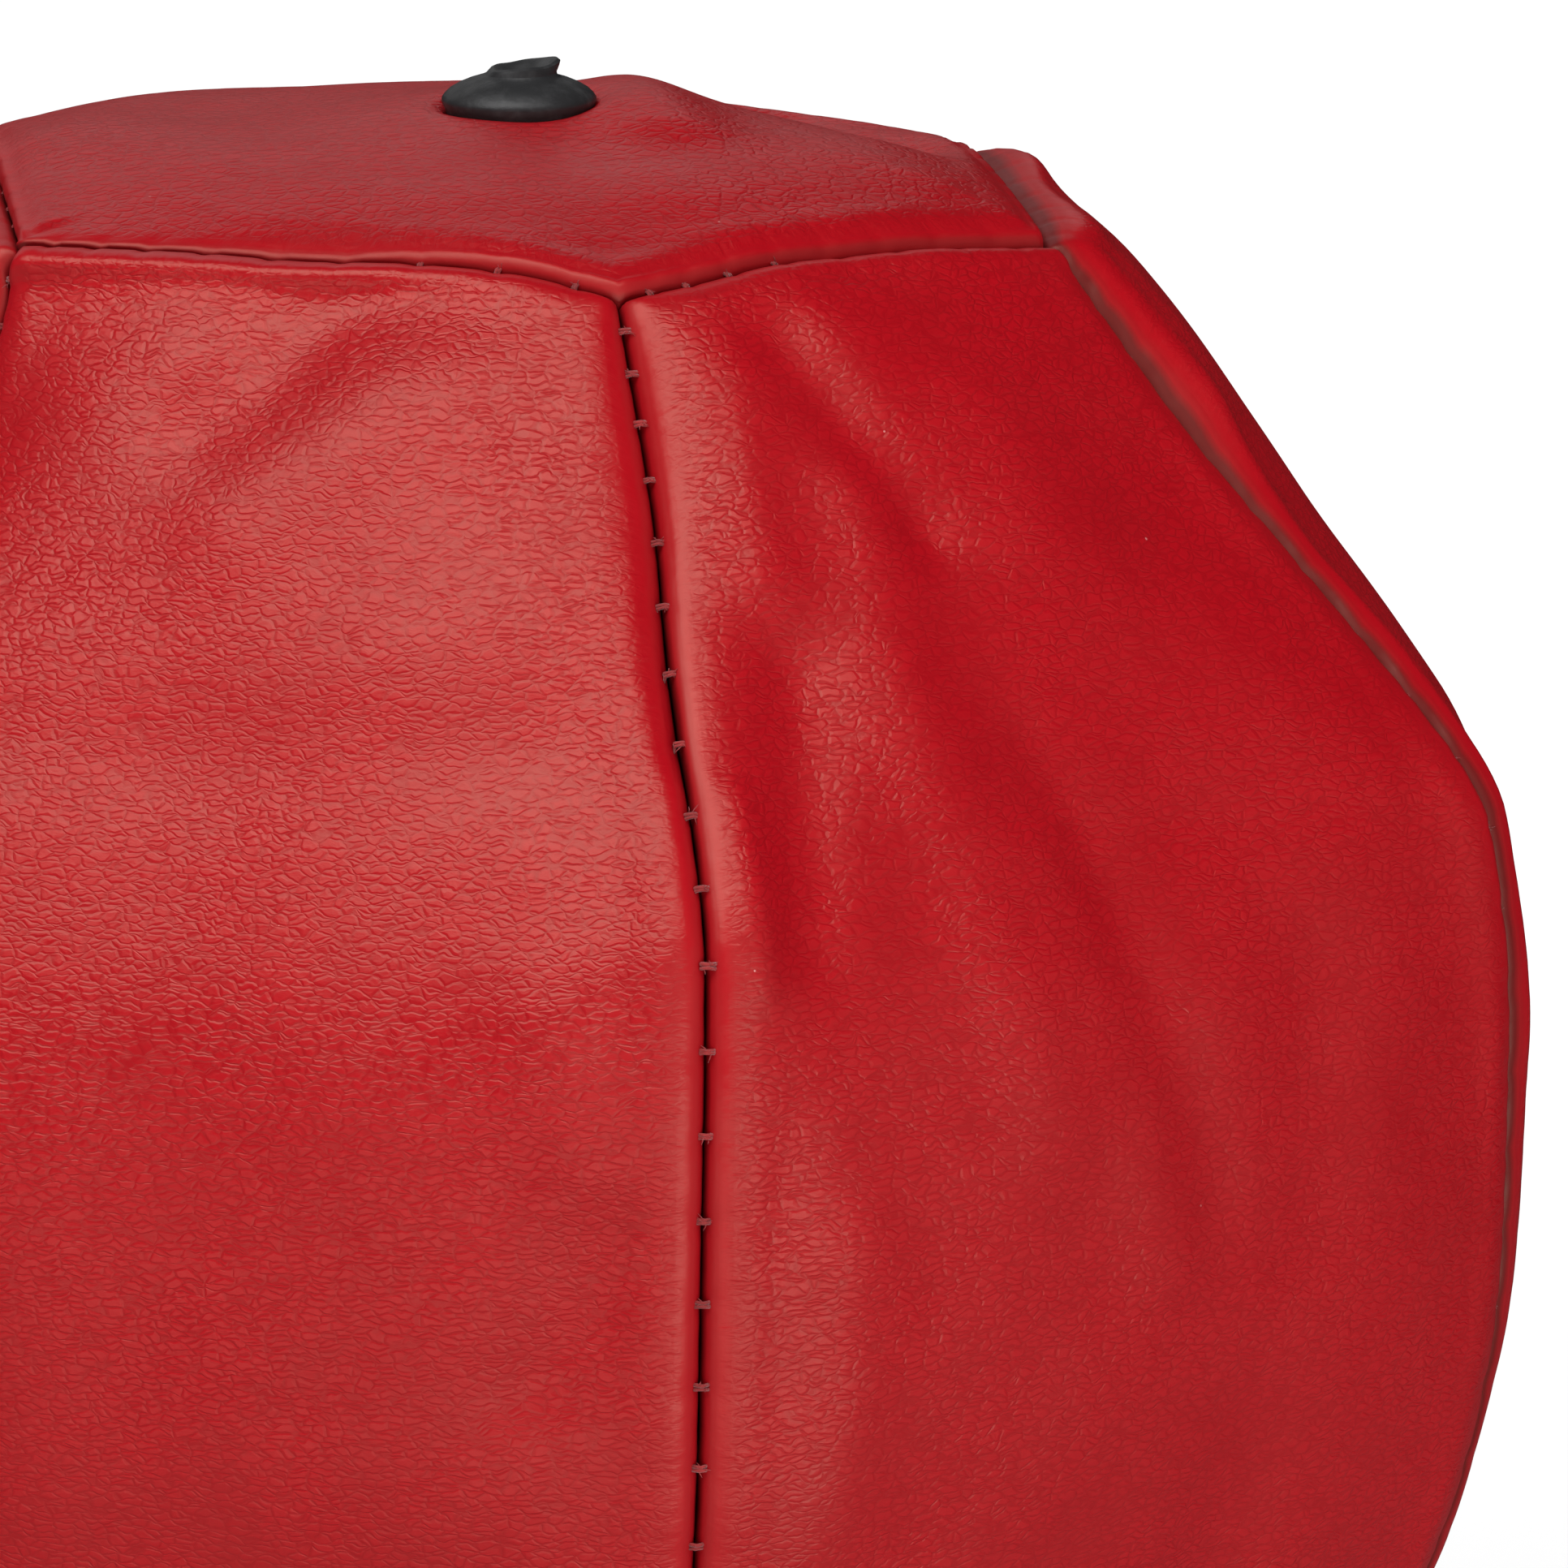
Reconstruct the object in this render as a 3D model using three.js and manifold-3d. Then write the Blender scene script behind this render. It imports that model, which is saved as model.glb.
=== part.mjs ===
// A desk-top punching ball: a sewn leatherette ball with a rubber bladder, carried on a short pole and a
// coil spring, on a suction base that a side lever locks to the desk. Millimetres, +Z up, origin under
// the middle of the base, on the desk. The seam that faces forward is turned a little off the -Y axis.
import * as THREE from "three";
import { ParametricGeometry } from "three/addons/geometries/ParametricGeometry.js";
import { mergeVertices } from "three/addons/utils/BufferGeometryUtils.js";
import Module from "manifold-3d";

const wasm = await Module();
wasm.setup();

// ---------- driving dimensions ----------
const GAP = 0.3; // left between neighbouring solids
const SEAM_COUNT = 6; // gores round the ball
const SEAM_TURN = THREE.MathUtils.degToRad(-80); // where the front seam stands, from +X
const BALL_CENTRE_Z = 346;
const BALL_RADIUS = 64.8; // at the seams, on the belly
const BALL_TOP = 57.6; // the cover under the valve, from the ball's centre
const FLATNESS = 0.5; // 0 is a round belly, 1 is a flat-sided hexagon
const LEATHER = 0.976; // inner over outer size of the cover
const TOP_SEAM_Z = 52.2; // the end panels' seams, from the ball's centre
const BOTTOM_SEAM_Z = -53.4;

const CUP_RADIUS = 66;
const HOUSING_RADIUS = 52;
const DECK_Z = 54; // top of the base housing
const WALL = 3;
const SHAFT_Z = 31;
const SHAFT_RADIUS = 4;
const CAM_RADIUS = 6.5;
const CAM_THROW = 2; // the cam's centre above the shaft's, locked

const SPRING_RADIUS = 12; // outside
const WIRE = 3.4;
const PITCH = 4.7;
const SPRING_Z = 58; // where the spring stands
const SPRING_LENGTH = 140;
const PLUG_RADIUS = 7.5; // what the spring stands round
const PLUG_LENGTH = 8;

const POLE_RADIUS = 11;
const POLE_BORE = 9.9;
const POLE_TOP_Z = 277;
const BOLT_RADIUS = 3;

// ---------- making solids ----------
function merged(geometry) {
  const bare = geometry.clone();
  bare.deleteAttribute("normal");
  bare.deleteAttribute("uv");
  return mergeVertices(bare, 1e-3);
}

function signedVolume(geometry) {
  const p = geometry.getAttribute("position");
  const [a, b, c] = [new THREE.Vector3(), new THREE.Vector3(), new THREE.Vector3()];
  let sum = 0;
  for (let i = 0; i < geometry.index.count; i += 3) {
    a.fromBufferAttribute(p, geometry.index.getX(i));
    b.fromBufferAttribute(p, geometry.index.getX(i + 1));
    c.fromBufferAttribute(p, geometry.index.getX(i + 2));
    sum += a.dot(b.cross(c));
  }
  return sum / 6;
}

// The closed surface with shared corners and its faces pointing out.
function closed(geometry) {
  const shape = merged(geometry);
  if (signedVolume(shape) < 0) {
    const corners = shape.index.array;
    for (let i = 0; i < corners.length; i += 3) {
      [corners[i + 1], corners[i + 2]] = [corners[i + 2], corners[i + 1]];
    }
  }
  return shape;
}

function toSolid(geometry) {
  const shape = closed(geometry);
  return new wasm.Manifold(
    new wasm.Mesh({
      numProp: 3,
      vertProperties: new Float32Array(shape.getAttribute("position").array),
      triVerts: new Uint32Array(shape.index.array),
    }),
  );
}

function toGeometry(solid) {
  const mesh = solid.getMesh();
  return new THREE.BufferGeometry()
    .setAttribute("position", new THREE.BufferAttribute(mesh.vertProperties, 3))
    .setIndex(new THREE.BufferAttribute(mesh.triVerts, 1));
}

function cut(body, ...tools) {
  return toGeometry(tools.reduce((left, tool) => left.subtract(toSolid(tool)), toSolid(body)));
}

function join(body, ...others) {
  return toGeometry(others.reduce((left, other) => left.add(toSolid(other)), toSolid(body)));
}

function common(body, ...others) {
  return toGeometry(others.reduce((left, other) => left.intersect(toSolid(other)), toSolid(body)));
}

// A profile of [radius, height] points turned round the Z axis.
function turned(profile, sides = 24) {
  const points = profile.map(([r, z]) => new THREE.Vector2(r, z));
  return closed(new THREE.LatheGeometry(points, sides).rotateX(Math.PI / 2));
}

// A closed ring or tube: the profile's last point is joined to its first.
function turnedRing(profile, sides = 24) {
  return turned([...profile, profile[0]], sides);
}

function tube(inner, outer, low, high, sides = 24) {
  return turnedRing([[inner, low], [outer, low], [outer, high], [inner, high]], sides);
}

function rod(radius, low, high, sides = 24) {
  return closed(
    new THREE.CylinderGeometry(radius, radius, high - low, sides)
      .rotateX(Math.PI / 2)
      .translate(0, 0, (low + high) / 2),
  );
}

// Lays a shape that stands along Z down along X, at the camshaft's height.
function alongShaft(geometry) {
  return geometry.rotateY(Math.PI / 2).translate(0, 0, SHAFT_Z);
}

// An outline drawn in Y and Z, made thick from x = low to x = high.
function slabAcross(outline, low, high, curveSegments = 8) {
  const sideways = new THREE.Matrix4().makeBasis(
    new THREE.Vector3(0, 1, 0),
    new THREE.Vector3(0, 0, 1),
    new THREE.Vector3(1, 0, 0),
  );
  const slab = new THREE.ExtrudeGeometry(outline, {
    depth: high - low,
    bevelEnabled: false,
    curveSegments,
  });
  return closed(slab.applyMatrix4(sideways).translate(low, 0, 0));
}

function roundedBox(wide, low, high, corner) {
  const s = new THREE.Shape();
  s.moveTo(-wide + corner, low);
  s.lineTo(wide - corner, low);
  s.absarc(wide - corner, low + corner, corner, -Math.PI / 2, 0);
  s.lineTo(wide, high - corner);
  s.absarc(wide - corner, high - corner, corner, 0, Math.PI / 2);
  s.lineTo(-wide + corner, high);
  s.absarc(-wide + corner, high - corner, corner, Math.PI / 2, Math.PI);
  s.lineTo(-wide, low + corner);
  s.absarc(-wide + corner, low + corner, corner, Math.PI, 1.5 * Math.PI);
  return s;
}

function hexHeadBolt(headRadius, headLow, headHigh, tipZ) {
  const [low, high] = tipZ > headHigh ? [headHigh - 0.5, tipZ] : [tipZ, headLow + 0.5];
  return join(rod(headRadius, headLow, headHigh, 6), rod(BOLT_RADIUS, low, high, 16));
}

// ---------- colours and finishes ----------
const finish = (color, roughness, metalness = 0) =>
  new THREE.MeshStandardMaterial({ color, roughness, metalness });
const RED_LEATHERETTE = finish(0xb01a22, 0.5);
const BLACK_RUBBER = finish(0x26272a, 0.75);
const GREY_RUBBER = finish(0x3a3b3e, 0.8);
const RED_GRIP = finish(0x9c1c20, 0.6);
const BLACK_PLASTIC = finish(0x1b1c1e, 0.45);
const WHITE_NYLON = finish(0xe4e2da, 0.5);
const CHROME = finish(0xd0d3d6, 0.12, 1);
const ZINC_STEEL = finish(0xa9adb0, 0.35, 1);

const group = new THREE.Group();
function add(name, geometry, material) {
  const mesh = new THREE.Mesh(geometry, material);
  mesh.name = name;
  group.add(mesh);
}

// ---------- the ball ----------
// Corner radius and height of the ball from the top pole to the bottom one, from the ball's centre.
const BALL_OUTLINE = [
  [0, BALL_TOP],
  [14, 57],
  [27, 55],
  [35.6, TOP_SEAM_Z],
  [50.6, 33.4],
  [61.9, 21],
  [64.2, 15],
  [BALL_RADIUS, 3],
  [63.8, -15],
  [59, -31],
  [49.5, -43.5],
  [36, BOTTOM_SEAM_Z],
  [20, -56.6],
  [0, -57.2],
];

// How far the belly's side is drawn in from its corners, at an angle from the middle of a gore.
function flattened(radius, fromMiddle) {
  const half = Math.PI / SEAM_COUNT;
  return radius * (1 - FLATNESS * (1 - Math.cos(half) / Math.cos(fromMiddle)));
}

function ballSolid(scale) {
  const rows = BALL_OUTLINE.length - 1;
  const surface = (u, v, target) => {
    const [radius, height] = BALL_OUTLINE[Math.round(v * rows)];
    const turn = (u * SEAM_COUNT) % 1;
    const r = flattened(radius, ((turn - 0.5) * 2 * Math.PI) / SEAM_COUNT) * scale;
    const angle = SEAM_TURN + u * 2 * Math.PI;
    target.set(r * Math.cos(angle), r * Math.sin(angle), height * scale);
  };
  return closed(new ParametricGeometry(surface, SEAM_COUNT * 6, rows)).translate(0, 0, BALL_CENTRE_Z);
}

// A wedge that holds one gore, drawn back from its two seams by half a gap.
function goreWedge(index) {
  const reach = 2 * BALL_RADIUS;
  const middle = SEAM_TURN + ((index + 0.5) * 2 * Math.PI) / SEAM_COUNT;
  const half = Math.PI / SEAM_COUNT;
  const back = GAP / 2 / Math.sin(half);
  const wedge = new THREE.Shape([
    new THREE.Vector2(back, 0),
    new THREE.Vector2(back + reach * Math.cos(half), -reach * Math.sin(half)),
    new THREE.Vector2(back + reach * Math.cos(half), reach * Math.sin(half)),
  ]);
  const height = TOP_SEAM_Z - BOTTOM_SEAM_Z - GAP;
  return new THREE.ExtrudeGeometry(wedge, { depth: height, bevelEnabled: false })
    .rotateZ(middle)
    .translate(0, 0, BALL_CENTRE_Z + BOTTOM_SEAM_Z + GAP / 2);
}

const cover = cut(ballSolid(1), ballSolid(LEATHER));
const VALVE_HOLE = 4.1;
const NECK_HOLE = 3.6;
const ballTop = BALL_CENTRE_Z + BALL_TOP;
const topSlab = rod(2 * BALL_RADIUS, BALL_CENTRE_Z + TOP_SEAM_Z + GAP / 2, ballTop + 10);
const bottomSlab = rod(2 * BALL_RADIUS, BALL_CENTRE_Z - 70, BALL_CENTRE_Z + BOTTOM_SEAM_Z - GAP / 2);
add(
  "top_panel",
  cut(common(cover, topSlab), rod(VALVE_HOLE, ballTop - 10, ballTop + 10)),
  RED_LEATHERETTE,
);
add(
  "bottom_panel",
  cut(common(cover, bottomSlab), rod(NECK_HOLE, BALL_CENTRE_Z - 70, BALL_CENTRE_Z - 50)),
  RED_LEATHERETTE,
);
for (let i = 0; i < SEAM_COUNT; i++) {
  add(`side_panel_${i + 1}`, common(cover, goreWedge(i)), RED_LEATHERETTE);
}

// The bladder hangs from the valve and stays clear of the clamp at the bottom.
const BLADDER_WALL = 0.982;
const VALVE_SEAT = 5.2; // the hole that the valve closes
const bladderOutline = [
  [VALVE_SEAT, 53.8],
  [31, 48.4],
  [54, 17],
  [57.4, -3],
  [50, -29],
  [30, -43],
  [0, -47],
];
const bladderInside = bladderOutline
  .map(([r, z]) => [r * BLADDER_WALL, z * BLADDER_WALL])
  .reverse();
bladderInside[bladderInside.length - 1][0] = VALVE_SEAT;
add(
  "bladder",
  turned([...bladderOutline, ...bladderInside, bladderOutline[0]], 18).translate(0, 0, BALL_CENTRE_Z),
  BLACK_RUBBER,
);

// A mushroom valve: dome and needle collar outside, stem through the cover, flange inside the bladder.
const VALVE_RADIUS = 4.9;
const valveProfile = [
  [0, -6.2],
  [7.4, -6.2],
  [7.4, -5.5],
  [3.7, -4.9],
  [3.7, 0.3],
  [VALVE_RADIUS, 0.4],
  [4.4, 1.5],
  [2.2, 2.8],
  [2.0, 3.8],
  [0.5, 3.8],
  [0.45, 1],
  [0, 1],
];
add("valve", turned(valveProfile, 18).translate(0, 0, ballTop), BLACK_RUBBER);

// ---------- the neck under the ball ----------
const neckTop = BALL_CENTRE_Z - 57.6;
const SOCKET = POLE_RADIUS + GAP;
const neckProfile = [
  [SOCKET, 258],
  [14.2, 258],
  [14.8, 259],
  [15.2, 272],
  [19, 282],
  [23.4, 286.4],
  [24, neckTop],
  [BOLT_RADIUS + GAP, neckTop],
  [BOLT_RADIUS + GAP, POLE_TOP_Z + GAP],
  [SOCKET, POLE_TOP_Z + GAP],
];
const SCREW_RADIUS = 2;
// A pole screw's hole, drilled from the front.
const screwHole = (z) =>
  rod(SCREW_RADIUS + GAP, 0, 2 * POLE_RADIUS, 14).rotateX(Math.PI / 2).translate(0, 0, z);
const UPPER_SCREW_Z = 267;
const LOWER_SCREW_Z = 209;
add("neck_cup", cut(turnedRing(neckProfile, 28), screwHole(UPPER_SCREW_Z)), BLACK_PLASTIC);
add("clamp_plate", tube(BOLT_RADIUS + GAP, 18.5, 291.4, 293.2), ZINC_STEEL);
add("neck_washer", tube(BOLT_RADIUS + GAP, 7.5, 293.5, 294.4, 18), ZINC_STEEL);
add("neck_bolt", hexHeadBolt(5.6, 294.7, 298.3, 264), ZINC_STEEL);

// ---------- the pole ----------
const POLE_FOOT_Z = SPRING_Z + SPRING_LENGTH + 4; // on the upper spring plug's collar
add(
  "pole_tube",
  cut(
    tube(POLE_BORE, POLE_RADIUS, POLE_FOOT_Z + GAP, POLE_TOP_Z, 28),
    screwHole(UPPER_SCREW_Z),
    screwHole(LOWER_SCREW_Z),
  ),
  CHROME,
);
add(
  "pole_top_plug",
  cut(tube(BOLT_RADIUS + GAP, POLE_BORE - GAP, 261, POLE_TOP_Z - GAP), screwHole(UPPER_SCREW_Z)),
  WHITE_NYLON,
);
function poleScrew(z, seat) {
  const head = [
    [0, seat + 2.4],
    [2.2, seat + 2.3],
    [3.6, seat + 1.2],
    [3.8, seat],
    [SCREW_RADIUS, seat],
    [SCREW_RADIUS, BOLT_RADIUS + 1],
    [0, BOLT_RADIUS + 1],
  ];
  return turned(head, 14).rotateX(Math.PI / 2).translate(0, 0, z);
}
add("pole_screw_upper", poleScrew(UPPER_SCREW_Z, 15.4), ZINC_STEEL);
add("pole_screw_lower", poleScrew(LOWER_SCREW_Z, POLE_RADIUS + GAP), ZINC_STEEL);

// ---------- the spring ----------
class Helix extends THREE.Curve {
  constructor(low, high) {
    super();
    this.low = low;
    this.high = high;
  }

  // Every stretch of the spring lies on one helix, so the turns run on from node to node.
  getPoint(t, target = new THREE.Vector3()) {
    const z = this.low + t * (this.high - this.low);
    const angle = ((z - SPRING_Z) / PITCH) * 2 * Math.PI;
    const r = SPRING_RADIUS - WIRE / 2;
    return target.set(r * Math.cos(angle), r * Math.sin(angle), z);
  }
}

const STEPS_PER_TURN = 8;
function coils(low, high) {
  const wire = new THREE.Shape().absarc(0, 0, WIRE / 2, 0, 2 * Math.PI);
  return closed(
    new THREE.ExtrudeGeometry(wire, {
      extrudePath: new Helix(low, high),
      steps: Math.round(((high - low) / PITCH) * STEPS_PER_TURN),
      curveSegments: 3,
    }),
  );
}
const springTop = SPRING_Z + SPRING_LENGTH;
const END_CLEAR = WIRE / 2 + GAP;
const MIDDLE_HALF = PITCH / 2; // one turn rides on its own between the two bends
const middleZ = SPRING_Z + SPRING_LENGTH / 2;
add("spring_lower_coils", coils(SPRING_Z + END_CLEAR, middleZ - MIDDLE_HALF - GAP / 4), CHROME);
add("spring_middle_coil", coils(middleZ - MIDDLE_HALF, middleZ + MIDDLE_HALF), CHROME);
add("spring_upper_coils", coils(middleZ + MIDDLE_HALF + GAP / 4, springTop - END_CLEAR), CHROME);

add(
  "upper_spring_plug",
  cut(
    turned([
      [0, springTop - PLUG_LENGTH],
      [PLUG_RADIUS - 0.6, springTop - PLUG_LENGTH],
      [PLUG_RADIUS, springTop - PLUG_LENGTH + 1],
      [PLUG_RADIUS, springTop],
      [12.5, springTop],
      [13, springTop + 0.6],
      [13, POLE_FOOT_Z - 0.6],
      [12.5, POLE_FOOT_Z],
      [POLE_BORE - GAP, POLE_FOOT_Z],
      [POLE_BORE - GAP, POLE_FOOT_Z + 13],
      [0, POLE_FOOT_Z + 13],
    ]),
    screwHole(LOWER_SCREW_Z),
  ),
  ZINC_STEEL,
);
add(
  "lower_spring_plug",
  turned([
    [0, SPRING_Z + 5.5],
    [BOLT_RADIUS + GAP, SPRING_Z + 5.5],
    [BOLT_RADIUS + GAP, DECK_Z + GAP],
    [17, DECK_Z + GAP],
    [17, SPRING_Z - 1],
    [16, SPRING_Z],
    [PLUG_RADIUS, SPRING_Z],
    [PLUG_RADIUS, SPRING_Z + PLUG_LENGTH - 1],
    [PLUG_RADIUS - 0.6, SPRING_Z + PLUG_LENGTH],
    [0, SPRING_Z + PLUG_LENGTH],
  ]),
  ZINC_STEEL,
);

// ---------- the base ----------
const DECK_UNDER = DECK_Z - 3.5;
const housingProfile = [
  [HOUSING_RADIUS - WALL, 8],
  [HOUSING_RADIUS, 8],
  [HOUSING_RADIUS, 16],
  [49.6, 26.5],
  [41.4, 40.4],
  [29, 50.2],
  [20.5, DECK_Z],
  [BOLT_RADIUS + GAP, DECK_Z],
  [BOLT_RADIUS + GAP, DECK_UNDER],
  [20, DECK_UNDER],
  [27, 47.4],
  [38.9, 38.3],
  [46.6, 25.6],
  [HOUSING_RADIUS - WALL, 15.5],
];
const BUSH_RADIUS = 5.6;
const BOSS_RADIUS = 9;
const BOSS_FROM = 38;
const BOSS_TO = 50.6;
const boss = (low, high) => alongShaft(rod(BOSS_RADIUS, low, high, 20));
const housing = join(
  turnedRing(housingProfile, 32),
  boss(BOSS_FROM, BOSS_TO),
  boss(-BOSS_TO, -BOSS_FROM),
);
add("base_housing", cut(housing, alongShaft(rod(BUSH_RADIUS + GAP, -60, 60, 20))), BLACK_PLASTIC);
const bushProfile = [
  [SHAFT_RADIUS + 0.15, BOSS_FROM],
  [BUSH_RADIUS, BOSS_FROM],
  [BUSH_RADIUS, BOSS_TO + GAP],
  [7, BOSS_TO + GAP],
  [7, BOSS_TO + 1],
  [SHAFT_RADIUS + 0.15, BOSS_TO + 1],
];
add("camshaft_bush_right", alongShaft(turnedRing(bushProfile, 20)), WHITE_NYLON);
add("camshaft_bush_left", closed(alongShaft(turnedRing(bushProfile, 20)).scale(-1, 1, 1)), WHITE_NYLON);
add("deck_washer", tube(BOLT_RADIUS + GAP, 8, 49.3, DECK_UNDER - 0.2, 18), ZINC_STEEL);
add("deck_bolt", hexHeadBolt(5.6, 45.5, 49, SPRING_Z + 4.8), ZINC_STEEL);

// The suction cup as it stands locked: its middle is drawn up off the desk.
const cupProfile = [
  [0, 7],
  [12, 7],
  [38, 4],
  [56, 0],
  [CUP_RADIUS - 0.6, 0],
  [CUP_RADIUS, 0.6],
  [CUP_RADIUS - 0.4, 1.6],
  [54.5, 5],
  [53.5, 7.6],
  [46.5, 7.6],
  [20, 12],
  [14, 14],
  [13, 22],
  [SHAFT_RADIUS + GAP, 22],
  [SHAFT_RADIUS + GAP, 13.2],
  [9.6, 13.2],
  [9.6, 9.6],
  [0, 9.6],
];
const tabOutline = roundedBox(7, 0, 20, 4);
const tab = new THREE.ExtrudeGeometry(tabOutline, { depth: 1.8, bevelEnabled: false, curveSegments: 5 })
  .translate(0, 56, 0.4)
  .rotateZ(-Math.PI * 0.75);
add("suction_cup", join(turned(cupProfile, 36), tab), GREY_RUBBER);

// ---------- the locking mechanism ----------
const CAM_WIDTH = 7.4;
const shaftProfile = [
  [0, -53.6],
  [3.4, -53.6],
  [SHAFT_RADIUS, -53],
  [SHAFT_RADIUS, -52.9],
  [3.2, -52.9],
  [3.2, -51.9],
  [SHAFT_RADIUS, -51.9],
  [SHAFT_RADIUS, 60],
  [1.9, 60],
  [1.9, 51],
  [0, 51],
];
const cam = alongShaft(rod(CAM_RADIUS, -CAM_WIDTH / 2, CAM_WIDTH / 2)).translate(0, 0, CAM_THROW);
add("camshaft", join(alongShaft(turned(shaftProfile, 18)), cam), ZINC_STEEL);
add("camshaft_clip", alongShaft(tube(3.5, 6.4, -52.8, -52, 16)), ZINC_STEEL);

// The yoke's window is wide enough for the cam to swing through, and the rod's foot is moulded in the cup.
const WINDOW_HALF = CAM_RADIUS + 0.8;
const WINDOW_WIDE = CAM_RADIUS + CAM_THROW + 0.8;
const camZ = SHAFT_Z + CAM_THROW;
const yoke = roundedBox(WINDOW_WIDE + 4, 22.4, camZ + WINDOW_HALF + 4, 3);
yoke.holes.push(roundedBox(WINDOW_WIDE, camZ - WINDOW_HALF, camZ + WINDOW_HALF, 1.5));
const drawRod = turned(
  [
    [0, 10],
    [9.2, 10],
    [9.2, 12.8],
    [SHAFT_RADIUS, 12.8],
    [SHAFT_RADIUS, 23.4],
    [0, 23.4],
  ],
  18,
);
add("draw_yoke", join(slabAcross(yoke, -CAM_WIDTH / 2, CAM_WIDTH / 2, 4), drawRod), ZINC_STEEL);

const LEVER_FROM = 52;
const LEVER_TO = 59;
const LEVER_REACH = 50;
const NECK_FROM_SHAFT = 26; // the arm is parallel from here to its tip
const HUB_RADIUS = 9.5;
const ARM_HALF = 4.6;
const leverOutline = new THREE.Shape();
leverOutline.absarc(0, SHAFT_Z, HUB_RADIUS, -Math.PI * 0.72, Math.PI * 0.72);
leverOutline.lineTo(-NECK_FROM_SHAFT, SHAFT_Z + ARM_HALF);
leverOutline.lineTo(-LEVER_REACH, SHAFT_Z + ARM_HALF);
leverOutline.lineTo(-LEVER_REACH, SHAFT_Z - ARM_HALF);
leverOutline.lineTo(-NECK_FROM_SHAFT, SHAFT_Z - ARM_HALF);
leverOutline.closePath();
const hubBore = alongShaft(rod(SHAFT_RADIUS + GAP, LEVER_FROM - 5, LEVER_TO + 5, 18));
add(
  "lever_arm",
  cut(slabAcross(leverOutline, LEVER_FROM, LEVER_TO, 9), hubBore),
  BLACK_PLASTIC,
);
const SLEEVE = 2.4; // the grip's wall round the arm
const gripOutline = roundedBox(11, -ARM_HALF - SLEEVE, ARM_HALF + SLEEVE, 5);
const gripPocket = new THREE.BoxGeometry(
  LEVER_TO - LEVER_FROM + 2 * GAP,
  20,
  2 * ARM_HALF + 2 * GAP,
).translate((LEVER_FROM + LEVER_TO) / 2, -LEVER_REACH + 10 - GAP, SHAFT_Z);
add(
  "lever_grip",
  cut(
    slabAcross(gripOutline, LEVER_FROM - SLEEVE, LEVER_TO + SLEEVE, 6).translate(0, 7.4 - LEVER_REACH, SHAFT_Z),
    gripPocket,
  ),
  RED_GRIP,
);
const leverScrewProfile = [
  [0, 52.5],
  [1.6, 52.5],
  [1.6, 60.3],
  [6.2, 60.3],
  [6.2, 61],
  [4.6, 62.6],
  [0, 63],
];
add("lever_screw", alongShaft(turned(leverScrewProfile, 16)), ZINC_STEEL);

export default group;
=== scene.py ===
"""Looks of a desk-top punching ball: a sewn leatherette ball on a pole, a coil spring and a suction base.

Lengths inside the builders are in millimetres and become metres when a mesh is written.
"""

import math

import bpy
import numpy as np
from bpy.props import FloatProperty, FloatVectorProperty, PointerProperty
from mathutils import Matrix, Vector

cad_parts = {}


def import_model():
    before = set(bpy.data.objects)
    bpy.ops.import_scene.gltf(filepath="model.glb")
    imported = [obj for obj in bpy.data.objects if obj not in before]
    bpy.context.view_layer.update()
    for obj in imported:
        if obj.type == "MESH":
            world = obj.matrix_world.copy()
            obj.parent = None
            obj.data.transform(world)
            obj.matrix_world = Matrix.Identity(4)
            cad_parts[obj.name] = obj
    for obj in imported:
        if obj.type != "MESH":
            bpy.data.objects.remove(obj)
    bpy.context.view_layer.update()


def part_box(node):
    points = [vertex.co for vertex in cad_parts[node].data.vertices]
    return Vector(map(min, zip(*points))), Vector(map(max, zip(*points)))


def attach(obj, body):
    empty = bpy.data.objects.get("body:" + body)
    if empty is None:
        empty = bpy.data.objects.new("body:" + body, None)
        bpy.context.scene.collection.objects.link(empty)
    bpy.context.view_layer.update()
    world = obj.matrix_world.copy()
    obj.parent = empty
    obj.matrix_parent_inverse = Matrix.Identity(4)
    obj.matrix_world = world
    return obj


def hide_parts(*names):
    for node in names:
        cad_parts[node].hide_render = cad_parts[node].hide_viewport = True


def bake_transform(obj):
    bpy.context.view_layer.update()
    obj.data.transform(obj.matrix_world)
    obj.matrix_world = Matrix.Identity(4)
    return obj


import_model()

bl_info = {
    "name": "Punching Ball",
    "version": (1, 0, 0),
    "blender": (4, 5, 0),
    "location": "View3D > Sidebar > Punching Ball",
    "description": "Builds a sewn punching ball, its sprung stand and its studio round the packed model",
    "category": "Add Mesh",
}

MM = 0.001
BALL = "punch_ball"
CROWN = 57.6  # the cover's crown over the ball's centre
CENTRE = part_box("top_panel")[1].z / MM - CROWN


# ---------- sizes and colours a user would change ----------
class BallSettings(bpy.types.PropertyGroup):
    leather: FloatVectorProperty(
        name="Leatherette", description="Colour of the cover", subtype="COLOR", size=3,
        min=0, max=1, default=(0.42, 0.0016, 0.008))
    thread: FloatVectorProperty(
        name="Thread", description="Colour of the sewing thread", subtype="COLOR", size=3,
        min=0, max=1, default=(0.34, 0.016, 0.016))
    grain: FloatProperty(
        name="Grain", description="Width of one pebble of the leatherette's grain, in millimetres",
        default=0.50, min=0.2, max=2)
    stitch: FloatProperty(
        name="Stitch", description="Pitch of the stitches, in millimetres", default=5.0, min=2, max=12)
    lip: FloatProperty(
        name="Lip", description="Radius of a panel's rolled edge, in millimetres",
        default=1.5, min=0.5, max=3)


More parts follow.
